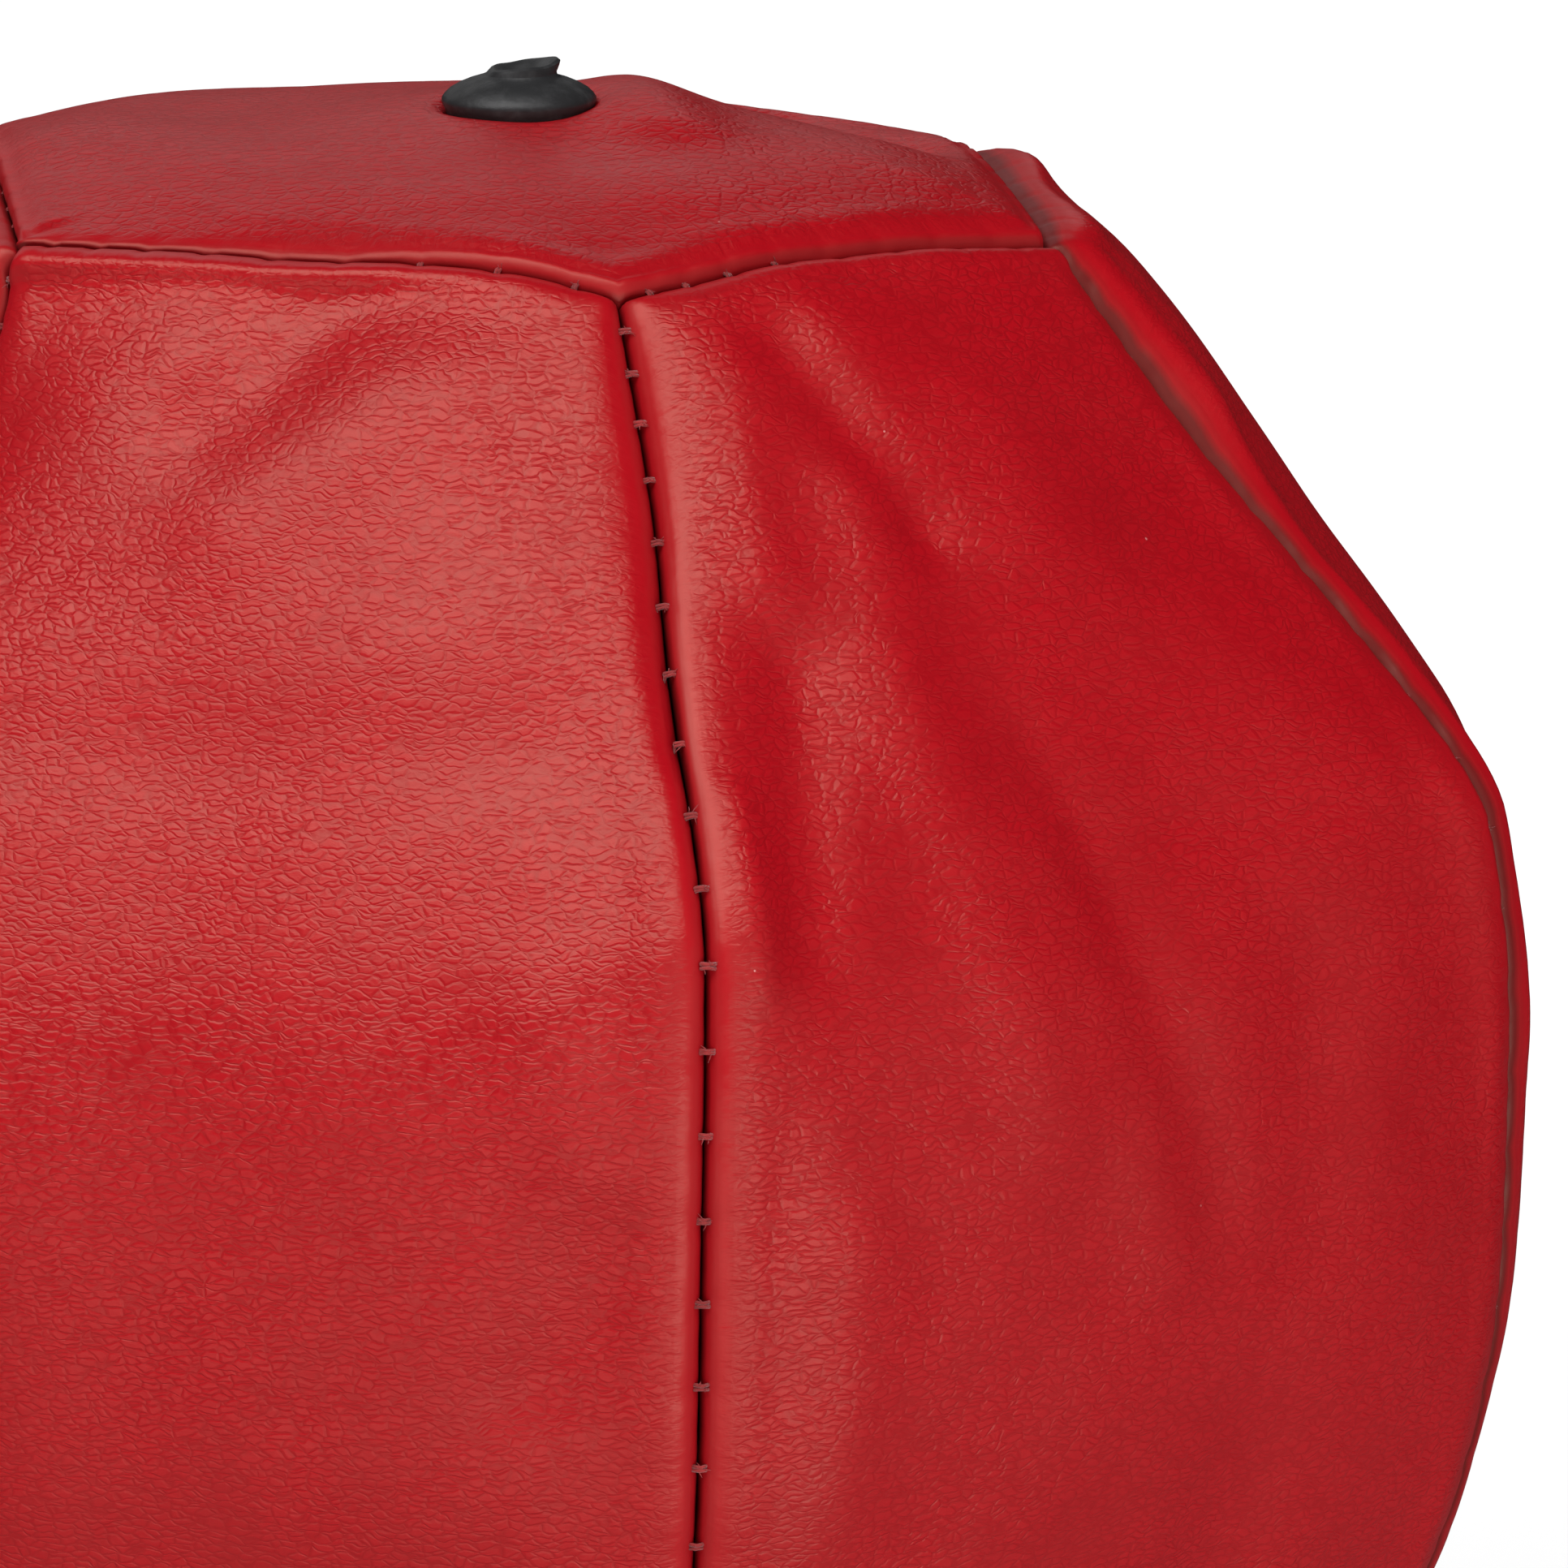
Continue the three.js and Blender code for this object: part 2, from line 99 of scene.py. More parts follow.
class StageSettings(bpy.types.PropertyGroup):
    distance: FloatProperty(
        name="Distance", description="From the camera to the ball", subtype="DISTANCE", default=0.8)
    elevation: FloatProperty(
        name="Elevation", description="Angle the camera looks down by", subtype="ANGLE",
        default=math.radians(12))
    aside: FloatProperty(
        name="Aside", description="How far the camera stands to the right of the ball",
        subtype="DISTANCE", default=0.0163)
    above: FloatProperty(
        name="Above", description="How far the camera is raised over the line to the ball",
        subtype="DISTANCE", default=0.015)
    lens: FloatProperty(name="Lens", description="Focal length, in millimetres", default=294)
    floor: FloatVectorProperty(
        name="Floor", description="Colour of the floor", subtype="COLOR", size=3, min=0, max=1,
        default=(0.86, 0.86, 0.86))


# ---------- meshes ----------
def settle(piece, body, nodes=()):
    """Makes a piece ride on its body and stand for its CAD nodes."""
    if body:
        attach(piece, body)
    if nodes:
        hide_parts(*nodes)
    return piece


def new_piece(name, points, faces, material):
    """A smooth mesh of millimetre points, with its faces turned outwards."""
    points, faces = np.asarray(points, float), np.asarray(faces)
    a, b, c = (points[faces[:, i]] for i in range(3))
    if np.einsum("ij,ij->i", a, np.cross(b, c)).sum() < 0:
        faces = faces[:, ::-1]
    mesh = bpy.data.meshes.new(name)
    mesh.from_pydata((points * MM).tolist(), [], faces.tolist())
    mesh.polygons.foreach_set("use_smooth", [True] * len(mesh.polygons))
    mesh.materials.append(material)
    piece = bpy.data.objects.new(name, mesh)
    bpy.context.scene.collection.objects.link(piece)
    return piece


def grid_faces(rows, columns, start=0, around=False):
    """Quads of a grid of points stored row by row. A grid that goes around joins its ends."""
    r = np.arange(rows - 1)[:, None]
    c = np.arange(columns if around else columns - 1)[None, :]
    after = (c + 1) % columns
    quads = np.stack(np.broadcast_arrays(
        r * columns + c, r * columns + after, (r + 1) * columns + after, (r + 1) * columns + c), -1)
    return quads.reshape(-1, 4) + start


def close_sheet(front, back, around=False):
    """Points and quads of a skin from grids of its face and its back, joined all round their rim."""
    rows, columns = front.shape[:2]
    n = rows * columns
    index = np.arange(n).reshape(rows, columns)
    faces = [grid_faces(rows, columns, around=around), grid_faces(rows, columns, n, around=around)[:, ::-1]]
    if around:
        rims = [index[0, ::-1], index[-1]]
    else:
        rims = [np.concatenate([index[-1, :-1], index[:0:-1, -1], index[0, :0:-1], index[:-1, 0]])]
    for rim in rims:
        after = np.roll(rim, -1)
        faces.append(np.stack([rim, rim + n, after + n, after], -1)[:, ::-1])
    return np.vstack([front.reshape(-1, 3), back.reshape(-1, 3)]), np.vstack(faces)


# ---------- curves of the cover ----------
def smooth_path(points, count=600):
    """Points evenly spaced along a smooth curve through the given ones."""
    p = np.asarray(points, float)
    p = np.vstack([2 * p[0] - p[1], p, 2 * p[-1] - p[-2]])
    t = np.linspace(0, 1, 40, endpoint=False)[:, None]
    line = []
    for a, b, c, d in zip(p[:-3], p[1:-2], p[2:-1], p[3:]):
        cubic = 3 * b - a - 3 * c + d
        line.append(0.5 * (2 * b + (c - a) * t + (2 * a - 5 * b + 4 * c - d) * t**2 + cubic * t**3))
    line = np.vstack([*line, p[-2][None]])
    run = np.concatenate([[0], np.cumsum(np.linalg.norm(np.diff(line, axis=0), axis=1))])
    return along(line, np.linspace(0, 1, count), run / run[-1])


def along(path, t, at=None):
    """The path's point at a share t of its length, for shares in an array of any shape."""
    at = np.linspace(0, 1, len(path)) if at is None else at
    return np.stack([np.interp(t, at, path[:, k]) for k in range(path.shape[1])], -1)


def length_of(path):
    """The length of a line of points."""
    return float(np.linalg.norm(np.diff(path, axis=0), axis=1).sum())


SEAMS = 6
# Of each seam: its turn, in degrees, and its top corner's radius and height over the ball's centre.
SEAM_TURN = (-79.2, -20.8, 39.4, 99.0, 159.2, -140.8)
TOP_CORNER = ((34.9, 52.4), (34.9, 51.8), (35.2, 51.7), (35.6, 53.0), (36.8, 54.5), (38.5, 53.8))
# How each seam's turn wanders on its way down, in degrees.
SEAM_WANDER = (
    (0.2, 1.0, 0.2, 0.3, -0.2, -0.4, -0.6, -1.2, -1.0),
    (0.0, 0.1, 0.2, -0.1, -0.2, 0.1, 0.3, 0.1, 0.0),
    (0.1, -0.4, 0.3, 0.6, 0.1, -0.3, 0.2, 0.5, 0.0),
    (0.0, 0.5, 0.2, -0.5, -0.2, 0.4, 0.1, -0.3, 0.0),
    (0.2, -0.3, -0.5, 0.2, 0.5, 0.0, -0.4, 0.2, 0.0),
    (0.0, 0.4, -0.2, -0.5, 0.1, 0.4, 0.2, -0.2, 0.0),
)
# Radius and height of every seam below its top corner, down to the bottom panel.
SEAM_PROFILE = ((43.4, 41.0), (50.7, 33.2), (61.6, 21.4), (64.1, 14.5), (64.8, 3.0), (63.8, -15.0),
                (59.0, -31.0), (49.5, -43.5), (36.0, -53.4))
# How far an edge of the top panel arches over the straight line between its corners.
TOP_ARCH = (
    (0, 0.3, 0.85, 0.8, 0.75, 0.35, 0),
    (0, 0.5, 0.9, 1.2, 1.4, 1.0, 0),
    (0, 0.5, 0.9, 0.8, 0.9, 0.4, 0),
    (0, 0.3, 0.6, 0.9, 0.8, 0.5, 0),
    (0, 0.6, 1.0, 0.7, 0.5, 0.3, 0),
    (0, 0.2, 0.35, 0.4, 0.95, 0.95, 0),
)
LOW_ARCH = (0, -0.2, -0.4, -0.45, -0.4, -0.2, 0)


def seam_line(k):
    """The seam between two side panels, from the top panel to the bottom one."""
    k %= SEAMS
    rings = [TOP_CORNER[k], *SEAM_PROFILE]
    share = np.linspace(0, 1, len(rings))
    wander = np.interp(share, np.linspace(0, 1, len(SEAM_WANDER[k])), SEAM_WANDER[k])
    turns = np.radians(SEAM_TURN[k] + wander)
    return smooth_path([(r * math.cos(a), r * math.sin(a), z) for (r, z), a in zip(rings, turns)])


def end_line(k, top):
    """The edge that a side panel shares with the top or the bottom panel."""
    end = 0 if top else -1
    a, b = seam_line(k)[end], seam_line(k + 1)[end]
    arch = TOP_ARCH[k % SEAMS] if top else LOW_ARCH
    share = np.linspace(0, 1, len(arch))[:, None]
    return smooth_path(a + (b - a) * share + np.outer(arch, (0, 0, 1)))


# ---------- relief of the cover ----------
def waves(points, size, height, seed, count=9):
    """Soft unevenness: a few plane waves of about the given size, the same at every run."""
    rng = np.random.default_rng(seed)
    total = np.zeros(points.shape[:-1])
    for _ in range(count):
        way = rng.normal(size=points.shape[-1])
        way *= 2 * np.pi / (size * rng.uniform(0.8, 1.5) * np.linalg.norm(way))
        total += np.sin(points @ way + rng.uniform(0, 2 * np.pi))
    return total * height / math.sqrt(count)


def fold(x, y, path, width, height):
    """A soft ridge, or a dent where height is negative, along a line of (x, y) points."""
    best = np.full(np.shape(x), np.inf)
    for (ax, ay), (bx, by) in zip(path[:-1], path[1:]):
        dx, dy = bx - ax, by - ay
        t = np.clip(((x - ax) * dx + (y - ay) * dy) / (dx * dx + dy * dy), 0, 1)
        best = np.minimum(best, (x - ax - t * dx) ** 2 + (y - ay - t * dy) ** 2)
    return height * np.exp(-best / width**2)


def ridge(distance, at, width):
    """1 on a line at a distance from an edge, fading to 0 on both sides of it."""
    return np.exp(-(((distance - at) / width) ** 2))


def away(distance, reach):
    """0 at an edge or a corner, rising to 1 beyond its reach."""
    return 1 - np.exp(-((distance / reach) ** 2))


def rolled(d, radius):
    """How deep a panel's edge has rolled in, at a distance d from the seam."""
    inside = np.clip(radius - d, 0, radius)
    return radius - np.sqrt(np.maximum(radius**2 - inside**2, 0))


# Seeds of the cover's unevenness. The first two have the seam's or the edge's number added to them.
SIDE_SLITS, END_SLITS = 10, 20
SWELLS, RIPPLES, PUFFED, LIPS, CROWN_WAVES = 31, 41, 51, 60, 71

ARC_STEPS = 7  # points round a rolled lip
EDGE_BAND = 4.5  # the strip along an edge that has the close points
NEAR_STEP, FAR_STEP = 0.38, 0.8  # from point to point in the strip, and inside it


def edge_steps(lip):
    """Distances from an edge: close together round its rolled lip, and wider after it."""
    arc = lip * (1 - np.cos(np.linspace(0, math.pi / 2, ARC_STEPS)))
    return np.concatenate([arc, np.arange(lip + NEAR_STEP, EDGE_BAND, NEAR_STEP)])


def half_way(total, lip):
    """Distances from an edge to the middle of a panel that is total millimetres across."""
    count = max(int((total / 2 - EDGE_BAND) / FAR_STEP), 3)
    return np.concatenate([edge_steps(lip), np.linspace(EDGE_BAND, total / 2, count + 1)[:-1]])


def spread(total, lip):
    """Distances from one edge of a panel to the other."""
    half = half_way(total, lip)
    return np.concatenate([half, [total / 2], total - half[::-1]])


# How many more stitches a seam has at its top end than the pitch gives, and within what length.
EXTRA_STITCHES, EXTRA_REACH = 2, 8.0


def stitch_count(run, pitch):
    """How many stitches lie within a run from a seam's top end, where they stand closer."""
    return run / pitch + EXTRA_STITCHES * (1 - np.exp(-run / EXTRA_REACH))


CLOSED, GAP = 0.02, 0.05  # half a slit's width at a stitch, and what it opens by between two
WIDE_GAPS = {SIDE_SLITS + 1: 0.42, SIDE_SLITS + 5: 0.14}  # the same for the slits that gape more


def slit(run, pitch, seed):
    """Half the gap between two panels: shut at each stitch and open between them."""
    between = np.sin(np.pi * stitch_count(run, pitch)) ** 2
    gaping = np.clip(0.5 + waves(run[..., None], 30, 0.45, seed), 0.05, 1)
    return CLOSED + WIDE_GAPS.get(seed, GAP) * between * gaping


# Ridges and dents of the side panels: a line of (across from the middle, down from the top), width, height.
SIDE_FOLDS = {
    5: [
        ([(8, -2), (2, 5), (-4, 12)], 3.2, -0.75),
        ([(15, 4), (8, 11), (0, 19)], 4.0, 0.6),
        ([(-8, 2), (-4, 7)], 3.5, 0.5),
        ([(-14, 33), (4, 33), (20, 32)], 4.2, -0.45),
        ([(25, 49), (27, 57)], 3.4, 0.55),
        ([(28, 61), (24, 70)], 3.0, -0.7),
        ([(24, 57), (10, 72)], 1.5, -0.22),
        ([(27, 66), (12, 80)], 1.6, -0.2),
        ([(-6, 60), (-10, 90)], 6.0, 0.5),
    ],
    0: [
        ([(-24, 63), (-25, 82)], 4.5, 0.9),
        ([(-14, 3), (-15, 10), (-17, 20)], 3.0, 0.6),
        ([(-9, 7), (-7, 14), (-5, 20)], 2.4, -0.8),
        ([(-8, 17), (-11, 30), (-10.5, 44), (-8, 56)], 3.6, 0.75),
        ([(-17.5, 27), (-20.5, 35), (-23.5, 44)], 2.6, -0.85),
        ([(-26, 35), (-28, 46)], 1.7, 0.7),
        ([(-27, 52), (-23, 62)], 4.0, 0.5),
        ([(-6, 41), (-3, 56), (0, 66)], 3.0, 0.5),
        ([(-3, 34), (0, 48), (4, 62)], 2.2, -0.28),
        ([(8, 9), (14, 22)], 6.0, -0.8),
        ([(13, 51), (12, 66)], 4.2, -0.6),
        ([(8, 78), (6, 92)], 5.0, -0.7),
        ([(-7, 38.4), (10, 40.4), (25, 43)], 0.5, -0.09),
        ([(-2, 39.6), (14, 42.2), (24, 44)], 0.4, -0.06),
    ],
    1: [([(-9, 3), (-13, 20), (-18, 38)], 6.0, 0.9), ([(6, 10), (4, 30), (8, 54)], 6.0, -0.8),
        ([(-14, 3), (-18, 14)], 3.4, 1.0)],
    2: [([(-4, 3), (2, 20), (3, 44)], 6.0, -0.8), ([(9, 6), (12, 30)], 5.0, 0.7)],
    3: [([(5, 2), (2, 16)], 4.0, 0.9), ([(-8, 8), (-10, 30), (-6, 50)], 6.0, -0.9)],
    4: [([(-3, 2), (-8, 22)], 4.5, -0.9), ([(10, 14), (12, 36), (9, 64)], 6.0, 0.8)],
}
# Radius and height of a side panel's middle line, from near its top edge to near its bottom one.
MIDDLE = ((34.7, 50.9), (38.6, 46.9), (43.6, 39.8), (49.3, 31.0), (54.8, 21.1), (59.0, 11.6),
          (60.4, 2.0), (60.2, -8.0), (58.6, -19.0), (54.3, -32.0), (46.9, -43.0), (37.8, -51.0))
FLATTENED = 3.0  # the higher, the flatter a panel is across, and the steeper beside its seams
PUFFS = {1: 0.75, 4: 0.6}  # how high a panel is puffed along its seams, where it isn't the usual
PUFF = 0.26
PUFF_AT, PUFF_WIDE = 2.4, math.sqrt(2.6)  # how far from the seam the puff is highest, and how wide it is
TOP_ROLL = 0.8  # how far a side panel's top edge rolls up over the top panel's, away from the front corner
ROLL_AT, ROLL_WIDE, ROLL_START = 1.4, 1.0, 9.0  # its place, its width, and how far from the corner it begins
FREE = 4.0  # how far from its edge a panel is held by it
CONE = (50, 62)  # runs from the top edge over which the upper cone turns into the belt
# An end panel's lip as a share of the plain one, by the share of the edge's length.
END_SHARE = {5: ((0, 0.55, 0.8, 1), (0.3, 0.3, 0.7, 0.7)), 0: ((0, 0.3, 1), (0.7, 0.8, 0.9))}
HIDDEN, SHOWN = 0.3, 0.7  # that share where a side panel hides the end panel's edge, and where it doesn't
SKIN = 3.2  # from the cover's face to its back
# Where a seam's lips are uneven: distances down it, and how much wider its right-hand lip is than its left.
LIP_SHARE = {0: ((0, 14, 24, 31, 34, 48, 80, 140), (1.0, 1.0, 0.7, 0.6, 0.8, 1.0, 1.0, 1.0)),
             1: ((0, 140), (1.15, 1.15))}
TIGHT = {1: 0.6}  # a seam whose lips are both sharper, so that its slit shows


def lip_radius(seam, run, lip, side):
    """Radius of the lip on one side of a seam: 1 for the panel after the seam, -1 for the one before it."""
    seam %= SEAMS
    at, share = LIP_SHARE.get(seam, ((0, 140), (1.0, 1.0)))
    lip *= TIGHT.get(seam, 1)
    return lip * np.interp(run, at, share) ** side * (1 + waves(run[..., None], 27, 0.12, LIPS + seam))


CORNER = 1.6  # the creases of two seams keep about this far apart at a panel's corner
PINCH, PINCH_REACH = 0.22, 1.1  # how deep a stitch pulls an edge in, and how far from the edge


def end_share(k, share):
    """The share of the lip that an end panel has along an edge."""
    return np.interp(share, *END_SHARE.get(k, ((0, 1), (0.8, 0.8))))


def pinch(run, to_edge, pitch):
    """How deep the stitches pull a panel's edge in."""
    return PINCH * np.exp(-to_edge / PINCH_REACH) * np.cos(np.pi * stitch_count(run, pitch)) ** 12


def inward(points, depth):
    """Points moved towards the ball's centre."""
    return points * (1 - depth / np.linalg.norm(points, axis=-1))[..., None]


def middle_line(top, bottom):
    """The line down a side panel's middle, from the top panel's edge to the bottom panel's."""
    ends = along(top, 0.5), along(bottom, 0.5)
    turn = math.atan2(ends[0][1], ends[0][0])
    rings = [(r * math.cos(turn), r * math.sin(turn), z) for r, z in MIDDLE]
    return smooth_path([ends[0], *rings, ends[1]])


def patch(left, right, top, bottom, u, v):
    """The surface spanned by four edges, at shares u across and v down it."""
    sides = (1 - u) * along(left, v[..., 0]) + u * along(right, v[..., 0])
    ends = (1 - v) * along(top, u[..., 0]) + v * along(bottom, u[..., 0])
    corners = (1 - v) * ((1 - u) * left[0] + u * right[0]) + v * ((1 - u) * left[-1] + u * right[-1])
    return sides + ends - corners


def side_panel(k, settings):
    """One gore: a patch between two seams, bulged, folded and rolled in at its edges."""
    lip, pitch = settings.lip, settings.stitch
    left, right = seam_line(k), seam_line(k + 1)
    top, bottom = end_line(k, True), end_line(k, False)
    length = (length_of(left) + length_of(right)) / 2
    run = spread(length, lip)[:, None]
    down = run[:, 0] / length
    width = np.linalg.norm(along(right, down) - along(left, down), axis=1)[:, None]
    half = half_way(width.max(), lip)[None, :]
    inner = EDGE_BAND + (half - EDGE_BAND) * (width / 2 - EDGE_BAND) / (width.max() / 2 - EDGE_BAND)
    half = np.where(half < EDGE_BAND, half, inner)
    d_left = np.concatenate([half, width / 2, width - half[:, ::-1]], 1)
    d_right = width - d_left
    run = run + 0 * d_left
    d_top, d_bottom = run, length - run
    gap_left = slit(run, pitch, SIDE_SLITS + k % SEAMS) * np.exp(-d_left)
    gap_right = slit(run, pitch, SIDE_SLITS + (k + 1) % SEAMS) * np.exp(-d_right)
    u = (d_left + gap_left - gap_right) / width
    end_slit = slit(u * length_of(top), pitch, END_SLITS + k)
    v = (d_top + end_slit * (np.exp(-d_top) - np.exp(-d_bottom))) / length
    flat = patch(left, right, top, bottom, u[..., None], v[..., None])
    normal = np.cross(np.gradient(flat, axis=0), np.gradient(flat, axis=1))
    normal /= np.linalg.norm(normal, axis=-1, keepdims=True)
    normal *= np.sign((normal * flat).sum(-1, keepdims=True))
    across = (u - 0.5) * width
    to_edge = np.minimum.reduce([d_left, d_right, d_top, d_bottom])
    free = away(to_edge, FREE)
    chord = flat[:, flat.shape[1] // 2]
    crowned = (1 - np.abs(2 * u - 1) ** FLATTENED)[..., None]
    flat = flat + crowned * (along(middle_line(top, bottom), down) - chord)[:, None]
    rise = np.zeros_like(u)
    for path, wide, high in SIDE_FOLDS[k]:
        rise += fold(across, run, path, wide, high) * (0.3 + 0.7 * free)
    rise += free * (waves(flat, 26, 0.26, SWELLS + k) + waves(flat, 11, 0.09, RIPPLES + k))
    puff = np.interp(run, CONE, (PUFFS.get(k, PUFF), PUFF))
    rise += puff * ridge(to_edge, PUFF_AT, PUFF_WIDE) * (1 + waves(flat, 15, 0.4, PUFFED + k))
    from_corner = d_right if k == SEAMS - 1 else d_left
    roll = TOP_ROLL * (1.9 - 1.6 * end_share(k, u)) * away(from_corner, ROLL_START)
    rise += roll * ridge(d_top, ROLL_AT, ROLL_WIDE)
    shape = flat + normal * rise[..., None]
    sides = np.maximum(rolled(d_left, lip_radius(k, run, lip, 1)),
                       rolled(d_right, lip_radius(k + 1, run, lip, -1)))
    top_lip = lip * np.interp(end_share(k, u), (HIDDEN, SHOWN), (0.5, 0.9))
    ends = np.maximum(rolled(d_top, top_lip), rolled(d_bottom, lip))
    depth = np.maximum(sides, ends) + 0.3 * np.minimum(sides, ends)
    side, end = np.minimum(d_left, d_right), np.minimum(d_top, d_bottom)
    apart = away(side - end, CORNER)
    depth += apart * pinch(np.where(side < end, run, u * length_of(top)), to_edge, pitch)
    beside = np.where(side < end, run, across)
    return inward(shape, depth), inward(shape, SKIN + 0 * depth), to_edge, beside, apart


# Ridges and dents of the top panel, in plan, and its crown by distance from the axis.
TOP_FOLDS = [
    ([(7.0, 10), (9.5, -6)], 3.7, 1.0),
    ([(3, -9), (6, -28)], 4.5, -0.5),
    ([(14, 19), (24, 10)], 6.0, -2.0),
    ([(-30, -4), (-25, 18)], 7.0, 0.7),
]
CROWN_AT = (4.4, 6, 9, 15, 22, 28, 33, 38)
CROWN_HEIGHT = (57.9, 58.1, 57.8, 57.1, 56.4, 55.5, 54.3, 53.3)
BASE_HEIGHT = (57.2, 57.1, 57.0, 56.8, 56.2, 55.2, 54.0, 52.6)
TOP_FREE = 3.0  # how far from its edge the top panel's ridges fade
HOLE = 4.4  # the hole for the valve, and that for the neck's bolt
# The sewn hem's ridge, the crease inside it and the swell inside that: place, width and height.
HEM = ((0.55, 0.28, 0.20), (1.25, 0.26, -0.16), (2.4, math.sqrt(2.2), 0.22))
EDGE_POINTS = 64  # points along one edge of an end panel
RINGS = 36  # rings of points inside the strip along its edges


def end_panel(top, settings):
    """The six-sided panel at the top or the bottom, a grid of rings from its edge in to its hole."""
    lip, pitch = settings.lip, settings.stitch
    sign = 1 if top else -1
    edges = [end_line(k, top) for k in range(SEAMS)]
    share = np.linspace(0, 1, EDGE_POINTS, endpoint=False)
    rim = np.vstack([along(edge, share) for edge in edges])
    beside = np.concatenate([share * length_of(edge) for edge in edges])
    gap = np.concatenate([
        slit(share * length_of(edge), pitch, END_SLITS + k) for k, edge in enumerate(edges)])
    end_shares = np.concatenate([end_share(k, share) for k in range(SEAMS)])
    turn = np.arctan2(rim[:, 1], rim[:, 0])
    hole = HOLE * np.stack([np.cos(turn), np.sin(turn)], -1)
    reach = np.linalg.norm(rim[:, :2] - hole, axis=1)
    steps = np.concatenate([edge_steps(lip), np.linspace(EDGE_BAND, reach.min(), RINGS)])
    far = EDGE_BAND + (steps[:, None] - EDGE_BAND) * (reach - EDGE_BAND) / (reach.min() - EDGE_BAND)
    s = np.where(steps[:, None] < EDGE_BAND, steps[:, None], far)
    share = np.clip(1 - (s + gap * np.exp(-s)) / reach, 0, 1)
    plan = hole + (rim[:, :2] - hole) * share[..., None]
    distances = []
    for edge in edges:
        way = edge[-1, :2] - edge[0, :2]
        inside = np.array([-way[1], way[0]]) / np.linalg.norm(way)
        distances.append((plan - edge[0, :2]) @ inside)
    to_edge = np.maximum(np.min(distances, axis=0), 0)
    radius = np.linalg.norm(plan, axis=-1)
    crown = CROWN_HEIGHT if top else BASE_HEIGHT
    height = np.interp(radius, CROWN_AT, crown)
    at_rim = np.interp(np.linalg.norm(rim[:, :2], axis=1), CROWN_AT, crown)
    height += (sign * rim[:, 2] - at_rim) * share**4
    if top:
        for path, wide, high in TOP_FOLDS:
            height += fold(plan[..., 0], plan[..., 1], path, wide, high) * away(to_edge, TOP_FREE)
    place = np.concatenate([plan, (sign * height)[..., None]], -1)
    height += away(to_edge, FREE) * waves(place, 17, 0.12, CROWN_WAVES + top)
    hem = sum(high * ridge(to_edge, at, wide) for at, wide, high in HEM)
    height += hem * np.interp(end_shares, (HIDDEN, SHOWN), (0, 1))
    beside = beside + 0 * to_edge
    depth = rolled(to_edge, lip * end_shares) + pinch(beside, to_edge, pitch)
    depth += 0.5 * np.exp(-(radius - HOLE) / 0.5)
    place[..., 2] = sign * height
    nearest = np.sort(distances, axis=0)
    apart = away(nearest[1] - nearest[0], CORNER)
    return inward(place, depth), inward(place, SKIN + 0 * depth), to_edge, beside, apart


SEAM_FADE, CREASE_FADE = 1.6, 3.0  # over what distance from an edge its two measures fade
SHADED = {"side_cover_2": 0.6}  # how much further a panel's seam measure reaches, so that its painted shade is wider along the edge that its neighbour overhangs


def cover_piece(name, grids, around, material):
    """A panel's mesh, with the measures that its grain and its painted shade along the seams follow: nearness
    to the seam, and a map along it.
    """
    front, back, to_edge, beside, apart = grids
    points, faces = close_sheet(front, back, around)
    piece = new_piece(name, points + (0, 0, CENTRE), faces, material)
    mesh = piece.data
    # On a panel listed in SHADED the seam measure reaches further in, which widens its painted shade along
    # that edge.
    near = np.exp(-np.maximum(to_edge - SHADED.get(name, 0), 0) / SEAM_FADE)
    near = np.concatenate([near.ravel(), np.ones(near.size)])
    mesh.attributes.new("seam", "FLOAT", "POINT").data.foreach_set("value", near.astype(np.float32))
    crease = np.tile((np.exp(-to_edge / CREASE_FADE) * apart).ravel(), 2)
    mesh.attributes.new("crease", "FLOAT", "POINT").data.foreach_set("value", crease.astype(np.float32))
    plan = np.stack([np.tile(to_edge.ravel(), 2), np.tile(beside.ravel(), 2)], -1) * MM
    corner = np.empty(len(mesh.loops), np.int32)
    mesh.loops.foreach_get("vertex_index", corner)
    mesh.uv_layers.new(name="UVMap").uv.foreach_set("vector", plan[corner].astype(np.float32).ravel())
    return piece


# ---------- thread ----------
def tube(path, radius, sides=5):
    """Points and quads of a round tube along a line, with pointed ends."""
    path = np.asarray(path, float)
    way = np.gradient(path, axis=0)
    way /= np.linalg.norm(way, axis=1, keepdims=True)
    aside = np.cross(way, (0.31, 0.9, 0.17))
    aside /= np.linalg.norm(aside, axis=1, keepdims=True)
    third = np.cross(way, aside)
    turn = np.linspace(0, 2 * np.pi, sides, endpoint=False)
    size = radius * np.concatenate([[0.35], np.ones(len(path) - 2), [0.35]])
    ring = aside[:, None] * np.cos(turn)[:, None] + third[:, None] * np.sin(turn)[:, None]
    points = (path[:, None] + ring * size[:, None, None]).reshape(-1, 3)
    faces = grid_faces(len(path), sides, around=True).tolist()
    faces += [list(range(sides))[::-1], list(range(len(points) - sides, len(points)))]
    return points, faces


THREAD, FIBRE = 0.125, 0.035  # radii of the sewing thread and of a frayed fibre
STITCH_HALF = 0.42  # half the width that a stitch bridges
STITCH_DEPTH = 0.62  # how far a stitch is sunk below the seam's line
HIDDEN_DEPTH = 0.6  # how much further in the end panels' seams, where the rolled edges hide it
NEAR_FRONT = 16.0  # how far from the front corner the end panels' stitches show
LAST_STITCH = 0.985  # the share of a seam's length after which it has none


